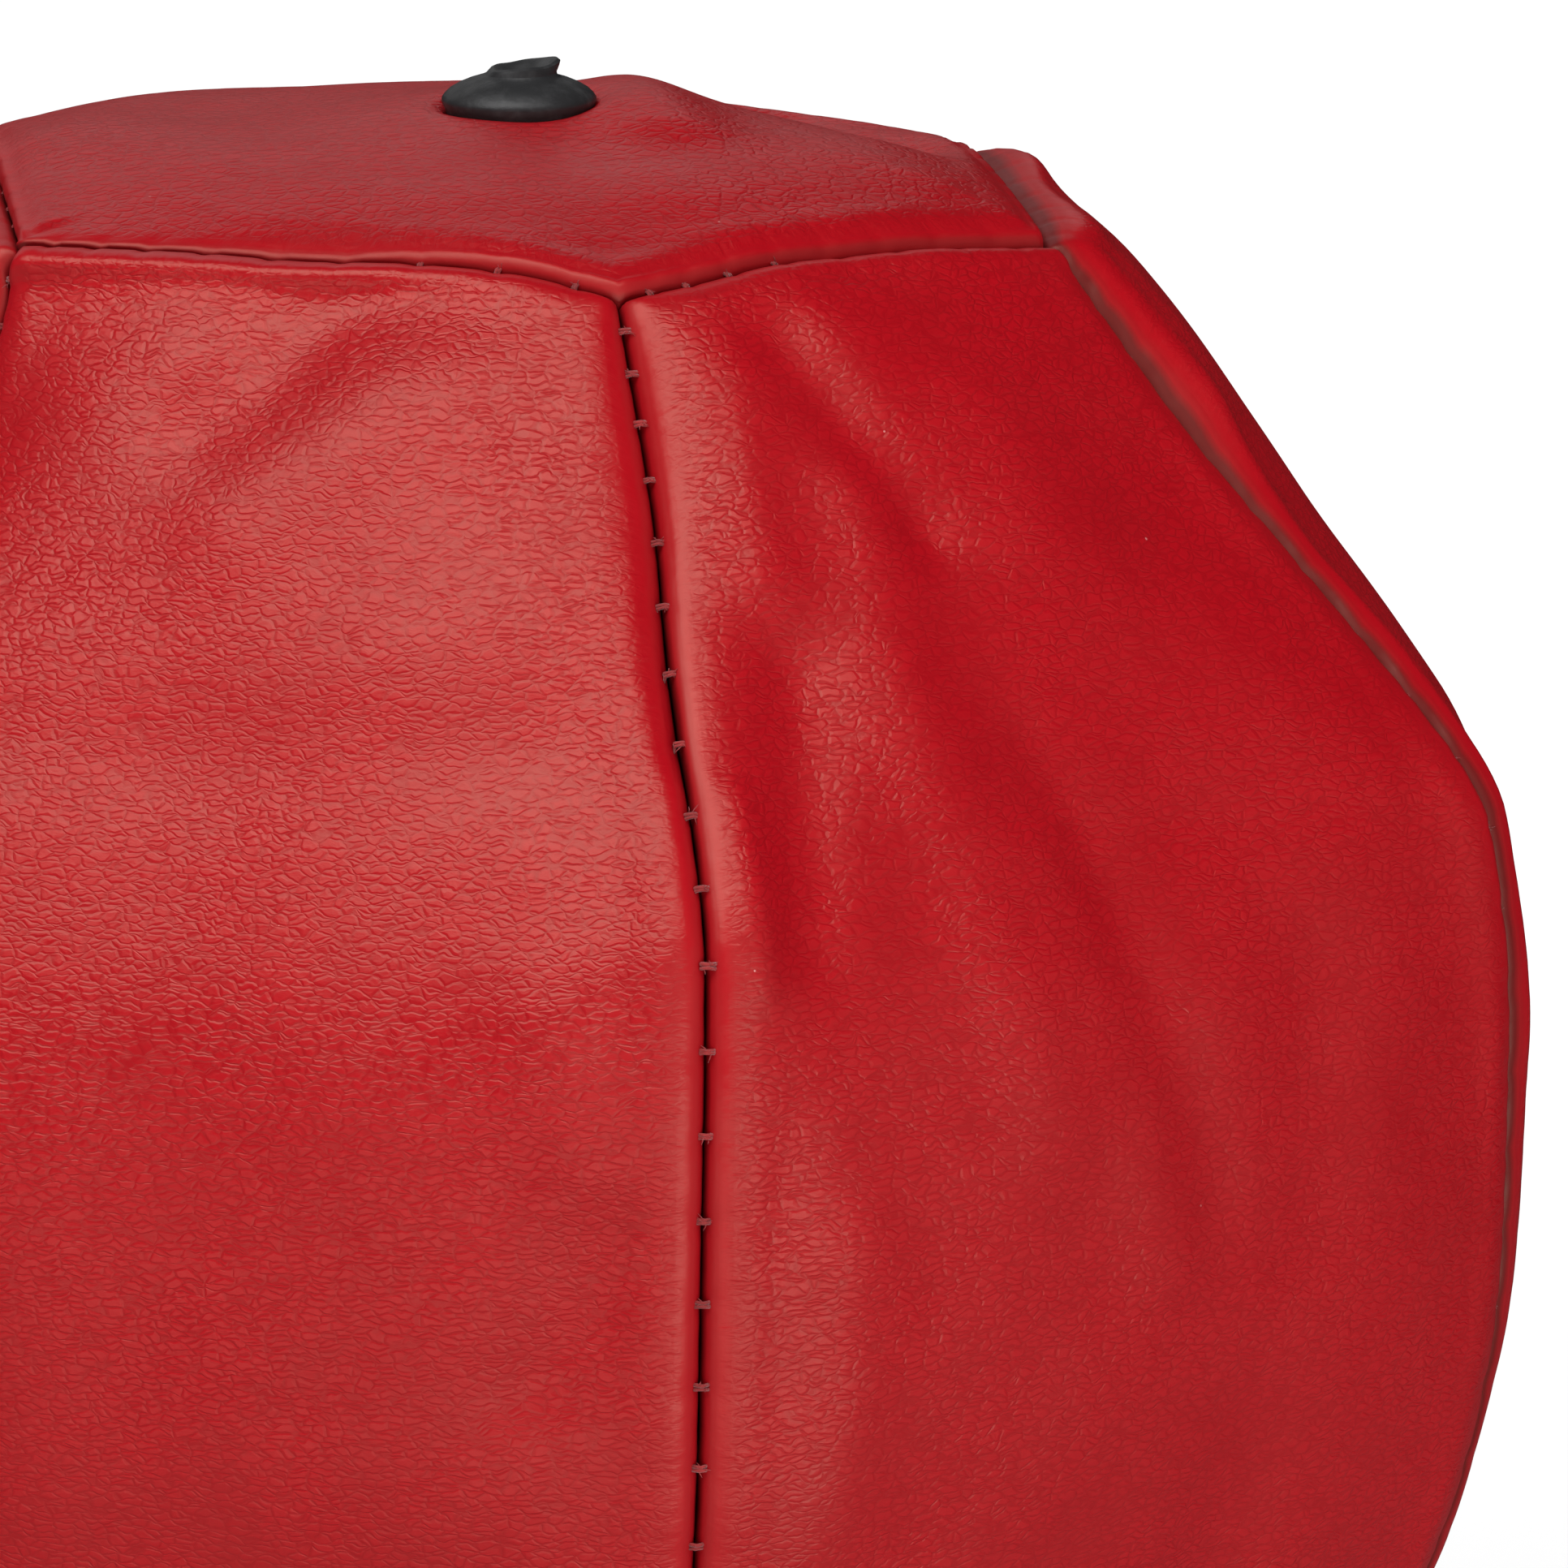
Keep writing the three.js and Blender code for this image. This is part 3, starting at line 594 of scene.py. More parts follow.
def stitch(rng):
    """One stitch across a seam: two strands side by side and a few frayed fibres, round its own middle."""
    points, faces, paths = [], [], []
    for side in (-1, 1):
        lean = side * rng.uniform(0.07, 0.15)
        twist = rng.uniform(-0.22, 0.22)
        paths.append((THREAD * rng.uniform(0.8, 1.1), [
            (-STITCH_HALF, lean - twist, -0.6), (-STITCH_HALF, lean, -0.10),
            (0, lean * 0.7, rng.uniform(0, 0.12)),
            (STITCH_HALF, lean, -0.10), (STITCH_HALF, lean + twist, -0.6)]))
    for _ in range(4):
        way = rng.uniform(-1, 1, 3) * (0.45, 0.5, 0.25)
        start = np.array([rng.uniform(-0.25, 0.25), rng.uniform(-0.2, 0.2), 0.02])
        paths.append((FIBRE, [start, start + way * 0.5 + (0, 0, 0.12), start + way + (0, 0, 0.1)]))
    for radius, path in paths:
        p, f = tube(path, radius)
        faces += [[i + len(points) for i in face] for face in f]
        points += p.tolist()
    return np.array(points), faces


def seam_stitches(settings, material):
    """Every stitch of the cover, in one piece."""
    rng = np.random.default_rng(5)
    points, faces = [], []
    lines = [seam_line(k) for k in range(SEAMS)]
    lines += [end_line(k, top) for k in range(SEAMS) for top in (True, False)]
    front = seam_line(0)[0]
    for line_number, line in enumerate(lines):
        length = length_of(line)
        run = np.linspace(0, length, 800)
        count = stitch_count(run, settings.stitch)
        for number in range(1, int(count[-1]) + 1):
            at = np.interp(number, count, run) / length
            if at > LAST_STITCH:
                continue
            place, ahead = along(line, at), along(line, min(at + 0.01, 1))
            out = place / np.linalg.norm(place)
            way = (ahead - place) / np.linalg.norm(ahead - place)
            out -= way * (out @ way)
            out /= np.linalg.norm(out)
            local, quads = stitch(rng)
            turned = local @ np.stack([np.cross(way, out), way, out])
            shows = line_number < SEAMS or np.linalg.norm(place - front) < NEAR_FRONT
            sunk = STITCH_DEPTH if shows else STITCH_DEPTH + HIDDEN_DEPTH
            faces += [[i + len(points) for i in face] for face in quads]
            points += (turned + place - out * sunk + (0, 0, CENTRE)).tolist()
    mesh = bpy.data.meshes.new("seam_stitches")
    mesh.from_pydata((np.array(points) * MM).tolist(), [], faces)
    mesh.polygons.foreach_set("use_smooth", [True] * len(mesh.polygons))
    mesh.materials.append(material)
    piece = bpy.data.objects.new("seam_stitches", mesh)
    bpy.context.scene.collection.objects.link(piece)
    return piece


# ---------- modelling by hand ----------
def start_clean():
    """Leaves edit mode and deselects everything."""
    if bpy.context.mode != "OBJECT":
        bpy.ops.object.mode_set(mode="OBJECT")
    bpy.ops.object.select_all(action="DESELECT")


TURNS = {"Z": Matrix(), "X": Matrix.Rotation(math.pi / 2, 4, "Y"),
         "-Y": Matrix.Rotation(math.pi / 2, 4, "X")}


def turned(name, profile, material, sides=96, axis="Z", at=(0, 0, 0), bevel=0.25, angle=30, ring=False):
    """A solid of revolution: a disc extruded ring by ring along its axis, then its edges rounded.

    The profile is (radius, height) from the foot up. A ring has a hole: its profile comes back to its start.
    The axis is Z, or turns to X or to -Y.
    """
    start_clean()
    (r, z), *rest = [(a * MM, b * MM) for a, b in profile]
    bpy.ops.mesh.primitive_circle_add(
        vertices=sides, radius=r, fill_type="NOTHING" if ring else "NGON", location=(0, 0, z))
    piece = bpy.context.object
    bpy.ops.object.mode_set(mode="EDIT")
    bpy.ops.mesh.select_all(action="SELECT")
    for radius, height in rest:
        bpy.ops.mesh.extrude_region_move(TRANSFORM_OT_translate={"value": (0, 0, height - z)})
        scale = radius / r
        bpy.ops.transform.resize(value=(scale, scale, 1), center_override=(0, 0, height))
        r, z = radius, height
    bpy.ops.mesh.select_all(action="SELECT")
    bpy.ops.mesh.remove_doubles(threshold=1e-7)
    bpy.ops.mesh.normals_make_consistent(inside=False)
    bpy.ops.object.mode_set(mode="OBJECT")
    piece.matrix_world = Matrix.Translation(Vector(at) * MM) @ TURNS[axis] @ piece.matrix_world
    return finish_piece(piece, name, material, bevel, angle)


def finish_piece(piece, name, material, bevel=0.25, angle=30, segments=2):
    """Puts a piece at the origin, rounds its edges, smooths it and gives it its material."""
    start_clean()
    piece.select_set(True)
    bpy.context.view_layer.objects.active = piece
    bpy.ops.object.transform_apply(location=True, rotation=True, scale=True)
    if bevel:
        modifier = piece.modifiers.new("Bevel", "BEVEL")
        modifier.width = bevel * MM
        modifier.segments = segments
        modifier.limit_method = "ANGLE"
        modifier.angle_limit = math.radians(angle)
        modifier.use_clamp_overlap = True
        bpy.ops.object.modifier_apply(modifier="Bevel")
    bpy.ops.object.shade_smooth_by_angle(angle=math.radians(angle + 5))
    piece.name = piece.data.name = name
    piece.data.materials.clear()
    piece.data.materials.append(material)
    return piece


# ---------- materials ----------
class Recipe:
    """Lays out one material's nodes. An input that is a node's output is linked, and any other is set."""

    def __init__(self, name):
        self.material = bpy.data.materials.new(name)
        self.material.use_nodes = True
        self.tree = self.material.node_tree
        self.shader = self.tree.nodes["Principled BSDF"]
        self.place = self.tree.nodes.new("ShaderNodeTexCoord").outputs["Object"]

    def put(self, socket, value):
        """Links a node's output to a socket, or sets the socket to a value."""
        if isinstance(value, bpy.types.NodeSocket):
            self.tree.links.new(value, socket)
        elif socket.type == "RGBA":
            socket.default_value = (*value[:3], 1)
        else:
            socket.default_value = value

    def node(self, kind, inputs, **settings):
        """A shader node with its inputs and its settings."""
        node = self.tree.nodes.new("ShaderNode" + kind)
        for key, value in settings.items():
            setattr(node, key, value)
        for key, value in inputs.items():
            self.put(node.inputs[key], value)
        return node

    def noise(self, size, detail=3, rough=0.5, place=None, distort=0.0):
        """A noise with features about size millimetres wide."""
        return self.node("TexNoise", {
            "Vector": self.place if place is None else place, "Scale": 1000 / size, "Detail": detail,
            "Roughness": rough, "Distortion": distort}).outputs["Fac"]

    def cells(self, size, feature="F1", place=None):
        """Distances in cells about size millimetres wide: from their middles, or from their edges."""
        return self.node("TexVoronoi", {
            "Vector": self.place if place is None else place, "Scale": 1000 / size},
            feature=feature).outputs["Distance"]

    def span(self, value, low, high, to_low=0.0, to_high=1.0):
        """A value carried from one range to another, and kept inside it."""
        return self.node("MapRange", {
            "Value": value, "From Min": low, "From Max": high,
            "To Min": to_low, "To Max": to_high}).outputs[0]

    def math(self, kind, a, b=0.0):
        return self.node("Math", {0: a, 1: b}, operation=kind).outputs[0]

    def mix(self, share, a, b):
        """The colour that is a where the share is 0, and b where it is 1."""
        return self.node("Mix", {0: share, 6: a, 7: b}, data_type="RGBA").outputs[2]

    def stretched(self, scale, place=None):
        """Coordinates scaled along each axis: the smaller the scale, the longer what follows them."""
        return self.node("Mapping", {
            "Vector": self.place if place is None else place, "Scale": scale}).outputs["Vector"]

    def bump(self, height, deep, under=None):
        """A bump of the given height in millimetres, over another one."""
        node = self.node("Bump", {"Height": height, "Distance": deep * MM, "Strength": 1.0})
        if under is not None:
            self.put(node.inputs["Normal"], under)
        return node.outputs["Normal"]

    def finish(self, **inputs):
        """Sets or links the shader's inputs, and gives the material."""
        names = {"colour": "Base Color", "rough": "Roughness", "metal": "Metallic", "normal": "Normal",
                 "tint": "Specular Tint", "specular": "Specular IOR Level", "sheen": "Sheen Weight"}
        for key, value in inputs.items():
            self.put(self.shader.inputs[names[key]], value)
        return self.material


def darker(colour, share):
    """A colour at a share of its brightness."""
    return tuple(c * share for c in colour)


def leatherette(name, settings):
    """Pebbled leatherette: crazed grain, stretched into creases by the seams, with painted shade that darkens
    it deep red along the seams' grooves and in its grain's valleys.
    """
    m = Recipe(name)
    grain = settings.grain
    seam = m.node("Attribute", {}, attribute_name="seam").outputs["Fac"]
    along_seam = m.node("UVMap", {}, uv_map="UVMap").outputs["UV"]
    swirl = m.node("TexNoise", {"Vector": m.place, "Scale": 1000 / (3 * grain), "Detail": 2.0})
    bent = m.node("MixRGB", {"Fac": 0.9 * MM, "Color1": m.place, "Color2": swirl.outputs["Color"]},
                  blend_type="ADD").outputs[0]
    bent = m.stretched((0.5, 0.5, 1.25), bent)
    pebble = m.span(m.cells(grain, "DISTANCE_TO_EDGE", bent), 0.01, 0.2)
    fine = m.noise(grain * 0.45, 3, 0.6, bent)
    cracks = m.span(m.noise(grain * 2.4, 4, 0.6, bent, 0.3), 0.36, 0.62)
    plain = m.math("SUBTRACT", 1.0, m.span(seam, 0.2, 0.55))
    worn = m.span(m.noise(9, 2), 0.35, 0.7, 0.6, 1.0)
    height = m.math("ADD", m.math("MULTIPLY", pebble, 0.6), m.math("MULTIPLY", fine, 0.3))
    height = m.math("ADD", height, m.math("MULTIPLY", cracks, 0.3))
    height = m.math("MULTIPLY", height, m.math("MULTIPLY", plain, worn))
    creases = m.noise(1.0, 4, 0.55, m.stretched((0.5, 1.4, 1.0), along_seam), 0.6)
    crease = m.node("Attribute", {}, attribute_name="crease").outputs["Fac"]
    near = m.math("MULTIPLY", m.span(crease, 0.1, 0.5), m.span(seam, 0.42, 0.7, 1.0, 0.0))
    normal = m.bump(height, 0.062)
    normal = m.bump(m.math("MULTIPLY", creases, near), 0.10, normal)
    normal = m.bump(m.noise(2.6, 3), 0.07, normal)
    tone = m.mix(m.span(m.noise(24, 3), 0.3, 0.7), darker(settings.leather, 0.96), settings.leather)
    # Painted shade: the grain's low valleys are darker, in place of the shade that falls in them.
    valley_shade = m.math("MULTIPLY", m.span(height, 0.25, 0.75, 1.0, 0.0), plain)
    tone = m.mix(m.math("MULTIPLY", valley_shade, 0.30), tone, darker(settings.leather, 0.45))
    # Painted shade: the colour darkens near each seam for the shade on the groove's walls, and much darker at
    # the seam's very edge for the shadow deep in the slit.
    tone = m.mix(m.span(seam, 0.56, 0.78), tone, darker(settings.leather, 0.85))
    tone = m.mix(m.span(seam, 0.88, 1.0), tone, darker(settings.leather, 0.35))
    patchy = m.node("TexNoise", {"Vector": m.place, "Scale": 130.0}).outputs["Fac"]
    dust = m.math("MULTIPLY", m.math("LESS_THAN", m.cells(4.2), 0.022),
                  m.math("GREATER_THAN", patchy, 0.56))
    dust = m.math("MULTIPLY", dust, m.math("LESS_THAN", seam, 0.35))
    tone = m.mix(m.math("MULTIPLY", dust, 0.55), tone, (0.75, 0.35, 0.32))
    rough = m.math("ADD", m.span(m.noise(7, 4), 0.3, 0.7, 0.31, 0.38), m.math("MULTIPLY", pebble, 0.03))
    rough = m.math("ADD", rough, m.span(seam, 0.6, 0.8, 0, 0.1))
    return m.finish(colour=tone, rough=rough, normal=normal, specular=0.5, tint=(1.0, 0.88, 0.70))


def thread(name, settings):
    """Twisted polyester thread, duller than the cover."""
    m = Recipe(name)
    twist = m.noise(0.16, 2, 0.6)
    tone = m.mix(m.span(m.noise(1.4, 2), 0.3, 0.7), darker(settings.thread, 0.6), settings.thread)
    return m.finish(colour=tone, rough=0.75, normal=m.bump(twist, 0.05), sheen=0.3)


def rubber(name, colour, rough=0.5, speckle=0.5):
    """Moulded rubber, a little dusty, with a fine matt grain and shallow flow marks."""
    m = Recipe(name)
    dusty = m.math("MULTIPLY", m.span(m.noise(1.3, 5, 0.7), 0.5, 0.75), speckle)
    pale = tuple(c * 2.2 + 0.02 for c in colour)
    normal = m.bump(m.noise(0.35, 4, 0.6), 0.03)
    normal = m.bump(m.noise(3.5, 2), 0.12, normal)
    even = m.span(m.noise(2.2, 3), 0.3, 0.7, rough - 0.06, rough + 0.1)
    return m.finish(colour=m.mix(dusty, colour, pale), rough=even, normal=normal, specular=0.4)


def metal(name, colour, rough, grain=0.6, deep=0.01, spangle=0.15):
    """Plated or drawn metal: a clouded sheen, fine grain, and a few dull smudges."""
    m = Recipe(name)
    cloud = m.span(m.noise(4, 3), 0.35, 0.65)
    tone = m.mix(m.math("MULTIPLY", cloud, spangle), colour, darker(colour, 0.6))
    smudge = m.span(m.noise(9, 5, 0.6), 0.52, 0.72, 0.0, 0.12)
    streaks = m.noise(grain, 2, 0.5, m.stretched((1, 1, 0.08)))
    even = m.span(streaks, 0.3, 0.7, rough * 0.8, rough * 1.25)
    return m.finish(colour=tone, metal=1.0, rough=m.math("ADD", even, smudge), normal=m.bump(streaks, deep))


def moulding(name, colour, rough, deep=0.03):
    """Spark-textured moulded plastic, with fine streaky scuffs."""
    m = Recipe(name)
    spark = m.noise(0.5, 5, 0.65)
    scuffs = m.span(m.noise(1.8, 6, 0.7, m.stretched((1, 1, 0.25))), 0.60, 0.74)
    tone = m.mix(m.math("MULTIPLY", scuffs, 0.35), colour, tuple(c * 2.5 + 0.01 for c in colour))
    even = m.span(m.noise(5, 3), 0.3, 0.7, rough - 0.05, rough + 0.07)
    normal = m.bump(m.noise(6, 2), 0.08, m.bump(spark, deep))
    polished = m.math("SUBTRACT", even, m.math("MULTIPLY", scuffs, 0.08))
    return m.finish(colour=tone, rough=polished, normal=normal)


FINISHES = {
    "cover leatherette": lambda name: leatherette(name, bpy.context.scene.ball),
    "sewing thread": lambda name: thread(name, bpy.context.scene.ball),
    "valve rubber": lambda name: rubber(name, (0.022, 0.022, 0.023), 0.42),
    "bladder rubber": lambda name: rubber(name, (0.014, 0.012, 0.012), 0.6, 0.8),
    "cup rubber": lambda name: rubber(name, (0.020, 0.020, 0.022), 0.40, 0.25),
    "red grip": lambda name: rubber(name, (0.40, 0.008, 0.016), 0.55, 0.12),
    "black moulding": lambda name: moulding(name, (0.012, 0.012, 0.013), 0.42),
    "natural nylon": lambda name: moulding(name, (0.72, 0.70, 0.62), 0.45, 0.01),
    "polished chrome": lambda name: metal(name, (0.86, 0.87, 0.88), 0.17, deep=0.001, spangle=0.05),
    "spring wire": lambda name: metal(name, (0.80, 0.81, 0.83), 0.32, 0.25, 0.006),
    "zinc plate": lambda name: metal(name, (0.62, 0.63, 0.62), 0.40, 0.4, 0.012, 0.4),
}


def finish(name):
    """A finish, made once and found again by its name."""
    return bpy.data.materials.get(name) or FINISHES[name](name)


# ---------- the ball ----------
class OBJECT_OT_ball_cover(bpy.types.Operator):
    """Makes the eight padded panels of the ball's cover"""
    bl_idname = "punching_ball.cover"
    bl_label = "Ball cover"

    def execute(self, context):
        settings = context.scene.ball
        skin = finish("cover leatherette")
        panels = [("top_cover", "top_panel", end_panel(True, settings), True),
                  ("bottom_cover", "bottom_panel", end_panel(False, settings), True)]
        for k in range(SEAMS):
            panels.append((f"side_cover_{k + 1}", f"side_panel_{k + 1}", side_panel(k, settings), False))
        for name, node, grids, around in panels:
            piece = cover_piece(name, grids, around, skin)
            settle(piece, BALL, [node])
        return {"FINISHED"}


class OBJECT_OT_stitches(bpy.types.Operator):
    """Sews the cover's seams"""
    bl_idname = "punching_ball.stitches"
    bl_label = "Stitches"

    def execute(self, context):
        settle(seam_stitches(context.scene.ball, finish("sewing thread")), BALL)
        return {"FINISHED"}


VALVE_BASE = 58.45  # over the ball's centre
COLLAR = 1.44  # the foot of the valve's collar over that
VALVE = [(3.2, -2.2), (4.2, -1.6), (4.6, -0.5), (4.78, -0.1), (4.76, 0.1), (4.6, 0.34), (4.3, 0.62),
         (3.8, 0.92), (3.2, 1.18), (2.7, 1.34), (2.38, COLLAR), (2.2, 1.62), (2.16, 1.9), (2.1, 2.1),
         (1.9, 2.22), (1.6, 2.16), (1.2, 1.9), (0.8, 1.6)]


class OBJECT_OT_valve(bpy.types.Operator):
    """Makes the rubber valve: a domed head with a torn moulding collar on top"""
    bl_idname = "punching_ball.valve"
    bl_label = "Valve"

    def execute(self, context):
        piece = turned("valve_head", VALVE, finish("valve rubber"), sides=72,
                       at=(0, 0, CENTRE + VALVE_BASE), bevel=0)
        tear_collar(piece)
        settle(piece, BALL, ["valve"])
        return {"FINISHED"}


def tear_collar(piece):
    """Raises one side of the valve's collar into a ragged flap."""
    foot = CENTRE + VALVE_BASE + COLLAR
    for vertex in piece.data.vertices:
        x, y, z = (c / MM for c in vertex.co)
        if z <= foot:
            continue
        turn = math.atan2(y, x)
        share = min((z - foot) / 0.75, 1)
        ragged = 0.05 * math.sin(3 * turn + 0.6) + 0.03 * math.sin(5 * turn + 1.1)
        lift = 0.22 * math.exp(-(((turn - 0.3) / 0.8) ** 2))
        lift -= 0.34 * math.exp(-(((abs(turn) - 2.9) / 1.2) ** 2))
        grow = 1 + share * (0.16 * math.cos(turn) + 0.04 * math.sin(2 * turn + 0.4) + ragged)
        vertex.co = (x * grow * MM, y * grow * MM, (z + share * (ragged + lift)) * MM)


# ---------- the stage ----------
def area_light(name, turn, height, distance, size, power, towards, glossy=True):
    """A soft box at a turn and height in degrees about a point, facing it."""
    light = bpy.data.lights.new(name, "AREA")
    light.shape = "RECTANGLE"
    light.size, light.size_y = size
    light.energy = power
    lamp = bpy.data.objects.new(name, light)
    turn, height = math.radians(turn), math.radians(height)
    way = Vector((math.cos(turn) * math.cos(height), math.sin(turn) * math.cos(height), math.sin(height)))
    lamp.location = towards + way * distance
    lamp.rotation_euler = way.to_track_quat("Z", "Y").to_euler()
    lamp.visible_glossy = glossy
    lamp.visible_camera = False
    bpy.context.scene.collection.objects.link(lamp)


# Soft boxes: turn and height in degrees, distance and sizes in metres, power in watts, if they show in gloss.
LIGHTS = {
    "key": (-137, 60, 1.2, (1.0, 1.0), 10.8, True),
    "overhead": (-64, 60, 1.2, (0.6, 0.5), 3.3, True),
    "back": (108, 26, 1.6, (1.5, 0.7), 1.3, True),
    "front_bounce": (-92, -16, 1.0, (2.4, 0.4), 4.8, True),
    "right_bounce": (-52, -14, 1.0, (0.5, 0.5), 1.5, True),
    "front_fill": (-75, 10, 1.8, (1.4, 1.4), 12.0, False),
    "right_fill": (-15, 8, 1.8, (1.4, 1.4), 7.0, False),
    "left_fill": (180, 8, 1.8, (1.4, 1.4), 5.0, False),
}
FLOOR_HALF = 14.0
FLOOR_NEAR = (0.5, 1.6)  # distances between which the floor's glow grows
FLOOR_GLOW = (0.35, 1.0)  # its glow at those
FLOOR_IN_GLOSS = 0.2  # how much of the floor's colour a glossy surface mirrors
WORLD_GLOW, WORLD_WHITE = 0.02, 1.2  # the world as a surface sees it, and as the camera does


class OBJECT_OT_stage(bpy.types.Operator):
    """Sets up the camera, the pale floor and the soft studio light"""
    bl_idname = "punching_ball.stage"
    bl_label = "Stage"

    def execute(self, context):
        scene = context.scene
        settings = scene.stage
        ball = Vector((0, 0, CENTRE * MM))
        tilt = settings.elevation
        up = Vector((0, math.sin(tilt), math.cos(tilt)))
        back = Vector((0, -math.cos(tilt), math.sin(tilt)))
        camera = bpy.data.objects.new("camera", bpy.data.cameras.new("camera"))
        camera.data.lens = settings.lens
        camera.data.sensor_width = 36
        camera.data.clip_end = 100
        camera.location = ball + back * settings.distance
        camera.location += Vector((settings.aside, 0, 0)) + up * settings.above
        camera.rotation_euler = (math.pi / 2 - tilt, 0, 0)
        scene.collection.objects.link(camera)
        scene.camera = camera
        for name, (turn, height, distance, size, power, glossy) in LIGHTS.items():
            area_light(name, turn, height, distance, size, power, ball, glossy)
        scene.view_settings.view_transform = "Standard"
        scene.world = world()
        start_clean()
        bpy.ops.mesh.primitive_plane_add(size=2 * FLOOR_HALF, location=(0, 0, 0))
        floor = context.object
        floor.name = "floor"
        floor.data.materials.append(floor_finish("floor", settings.floor))
        return {"FINISHED"}


def world():
    """A world that is white behind the object and dim all round it."""
    sky = bpy.data.worlds.new("studio")
    sky.use_nodes = True
    tree = sky.node_tree
    path = tree.nodes.new("ShaderNodeLightPath")
    dim, bright = tree.nodes["Background"], tree.nodes.new("ShaderNodeBackground")
    mixed = tree.nodes.new("ShaderNodeMixShader")
    dim.inputs["Color"].default_value = (WORLD_GLOW, WORLD_GLOW, WORLD_GLOW, 1)
    bright.inputs["Color"].default_value = (WORLD_WHITE, WORLD_WHITE, WORLD_WHITE, 1)
    tree.links.new(path.outputs["Is Camera Ray"], mixed.inputs[0])
    tree.links.new(dim.outputs[0], mixed.inputs[1])
    tree.links.new(bright.outputs[0], mixed.inputs[2])
    tree.links.new(mixed.outputs[0], tree.nodes["World Output"].inputs["Surface"])
    return sky


def floor_finish(name, colour):
    """A matt pale floor that glows to white for the camera, and keeps the object's shadow."""
    m = Recipe(name)
    path = m.tree.nodes.new("ShaderNodeLightPath")
    tone = m.mix(m.noise(40, 4), darker(colour, 0.985), colour)
    tone = m.mix(path.outputs["Is Glossy Ray"], tone, darker(colour, FLOOR_IN_GLOSS))
    m.finish(colour=tone, rough=0.7, specular=0.1, normal=m.bump(m.noise(1.5, 3), 0.02))
    m.put(m.shader.inputs["Emission Color"], (1.0, 1.0, 1.0))
    out = m.node("VectorMath", {0: m.place}, operation="LENGTH").outputs["Value"]
    glow = m.span(out, *FLOOR_NEAR, *FLOOR_GLOW)
    m.put(m.shader.inputs["Emission Strength"], m.math("MULTIPLY", path.outputs["Is Camera Ray"], glow))
    return m.material


# ---------- the stand ----------
def level(node, end, part=2):
    """A coordinate of a CAD node's box in millimetres: its lowest (0) or highest (1) end, along X, Y or Z."""
    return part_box(node)[end][part] / MM


def screw_head(name, radius, height, at, axis, body, node):
    """A pan-head screw with a cross recess, seated at a point and facing along an axis."""
    head = [(radius * 0.5, -0.6), (radius * 0.98, -0.02), (radius, 0.35 * height),
            (radius * 0.94, 0.6 * height), (radius * 0.75, 0.86 * height), (radius * 0.4, height)]
    piece = turned(name, head, finish("zinc plate"), sides=48, axis=axis, at=at, bevel=0)
    seat = Matrix.Translation(Vector(at) * MM) @ TURNS[axis] @ Matrix.Translation((0, 0, height * MM))
    deep, wide, long_ = height * 0.75 * MM, radius * 0.24 * MM, radius * 1.15 * MM
    for across, along_ in ((wide, long_), (long_, wide)):
        start_clean()
        bpy.ops.mesh.primitive_cube_add(size=1)
        tool = bpy.context.object
        tool.matrix_world = seat @ Matrix.Diagonal((across, along_, 2 * deep, 1))
        combine(piece, tool, "DIFFERENCE")
    finish_piece(piece, name, finish("zinc plate"), bevel=0.08, angle=40, segments=1)
    settle(piece, body, [node])


def combine(piece, tool, how):
    """Cuts or joins a piece with a tool, and takes the tool away."""
    start_clean()
    piece.select_set(True)
    bpy.context.view_layer.objects.active = piece
    modifier = piece.modifiers.new("Boolean", "BOOLEAN")
    modifier.operation = how
    modifier.solver = "EXACT"
    modifier.object = tool
    bpy.ops.object.modifier_apply(modifier="Boolean")
    mesh = tool.data
    bpy.data.objects.remove(tool)
    bpy.data.meshes.remove(mesh)


def bevel_edges(offset, segments):
    """Bevels every edge of the active piece."""
    bpy.ops.object.mode_set(mode="EDIT")
    bpy.ops.mesh.select_all(action="SELECT")
    bpy.ops.mesh.bevel(offset=offset * MM, segments=segments, affect="EDGES")
    bpy.ops.object.mode_set(mode="OBJECT")


def box_solid(low, high):
    """A box between two corners in millimetres."""
    start_clean()
    low, high = Vector(low) * MM, Vector(high) * MM
    bpy.ops.mesh.primitive_cube_add(size=1, location=(low + high) / 2)
    piece = bpy.context.object
    piece.scale = high - low
    bpy.ops.object.transform_apply(location=True, rotation=True, scale=True)
    return piece


# Profiles of the turned pieces are (radius, height) in millimetres.
NECK = [(11.5, 0), (13.6, 0), (14.5, 0.5), (14.8, 1.2), (14.8, 2.6), (14.3, 3.1), (14.3, 3.9), (14.9, 4.4),
        (15.1, 9), (15.4, 14), (16.4, 18.5), (17.8, 21.6), (19.8, 24.6), (21.8, 26.8), (23.2, 28.2),
        (23.9, 29.2), (24, 30.1), (23.5, 30.35), (20, 30.3), (3.4, 30.3), (3.4, 19.4), (11.5, 19.4),
        (11.5, 0)]
SCREWS = (("neck_screw", "pole_screw_upper", 15.4), ("plug_screw", "pole_screw_lower", 11.3))


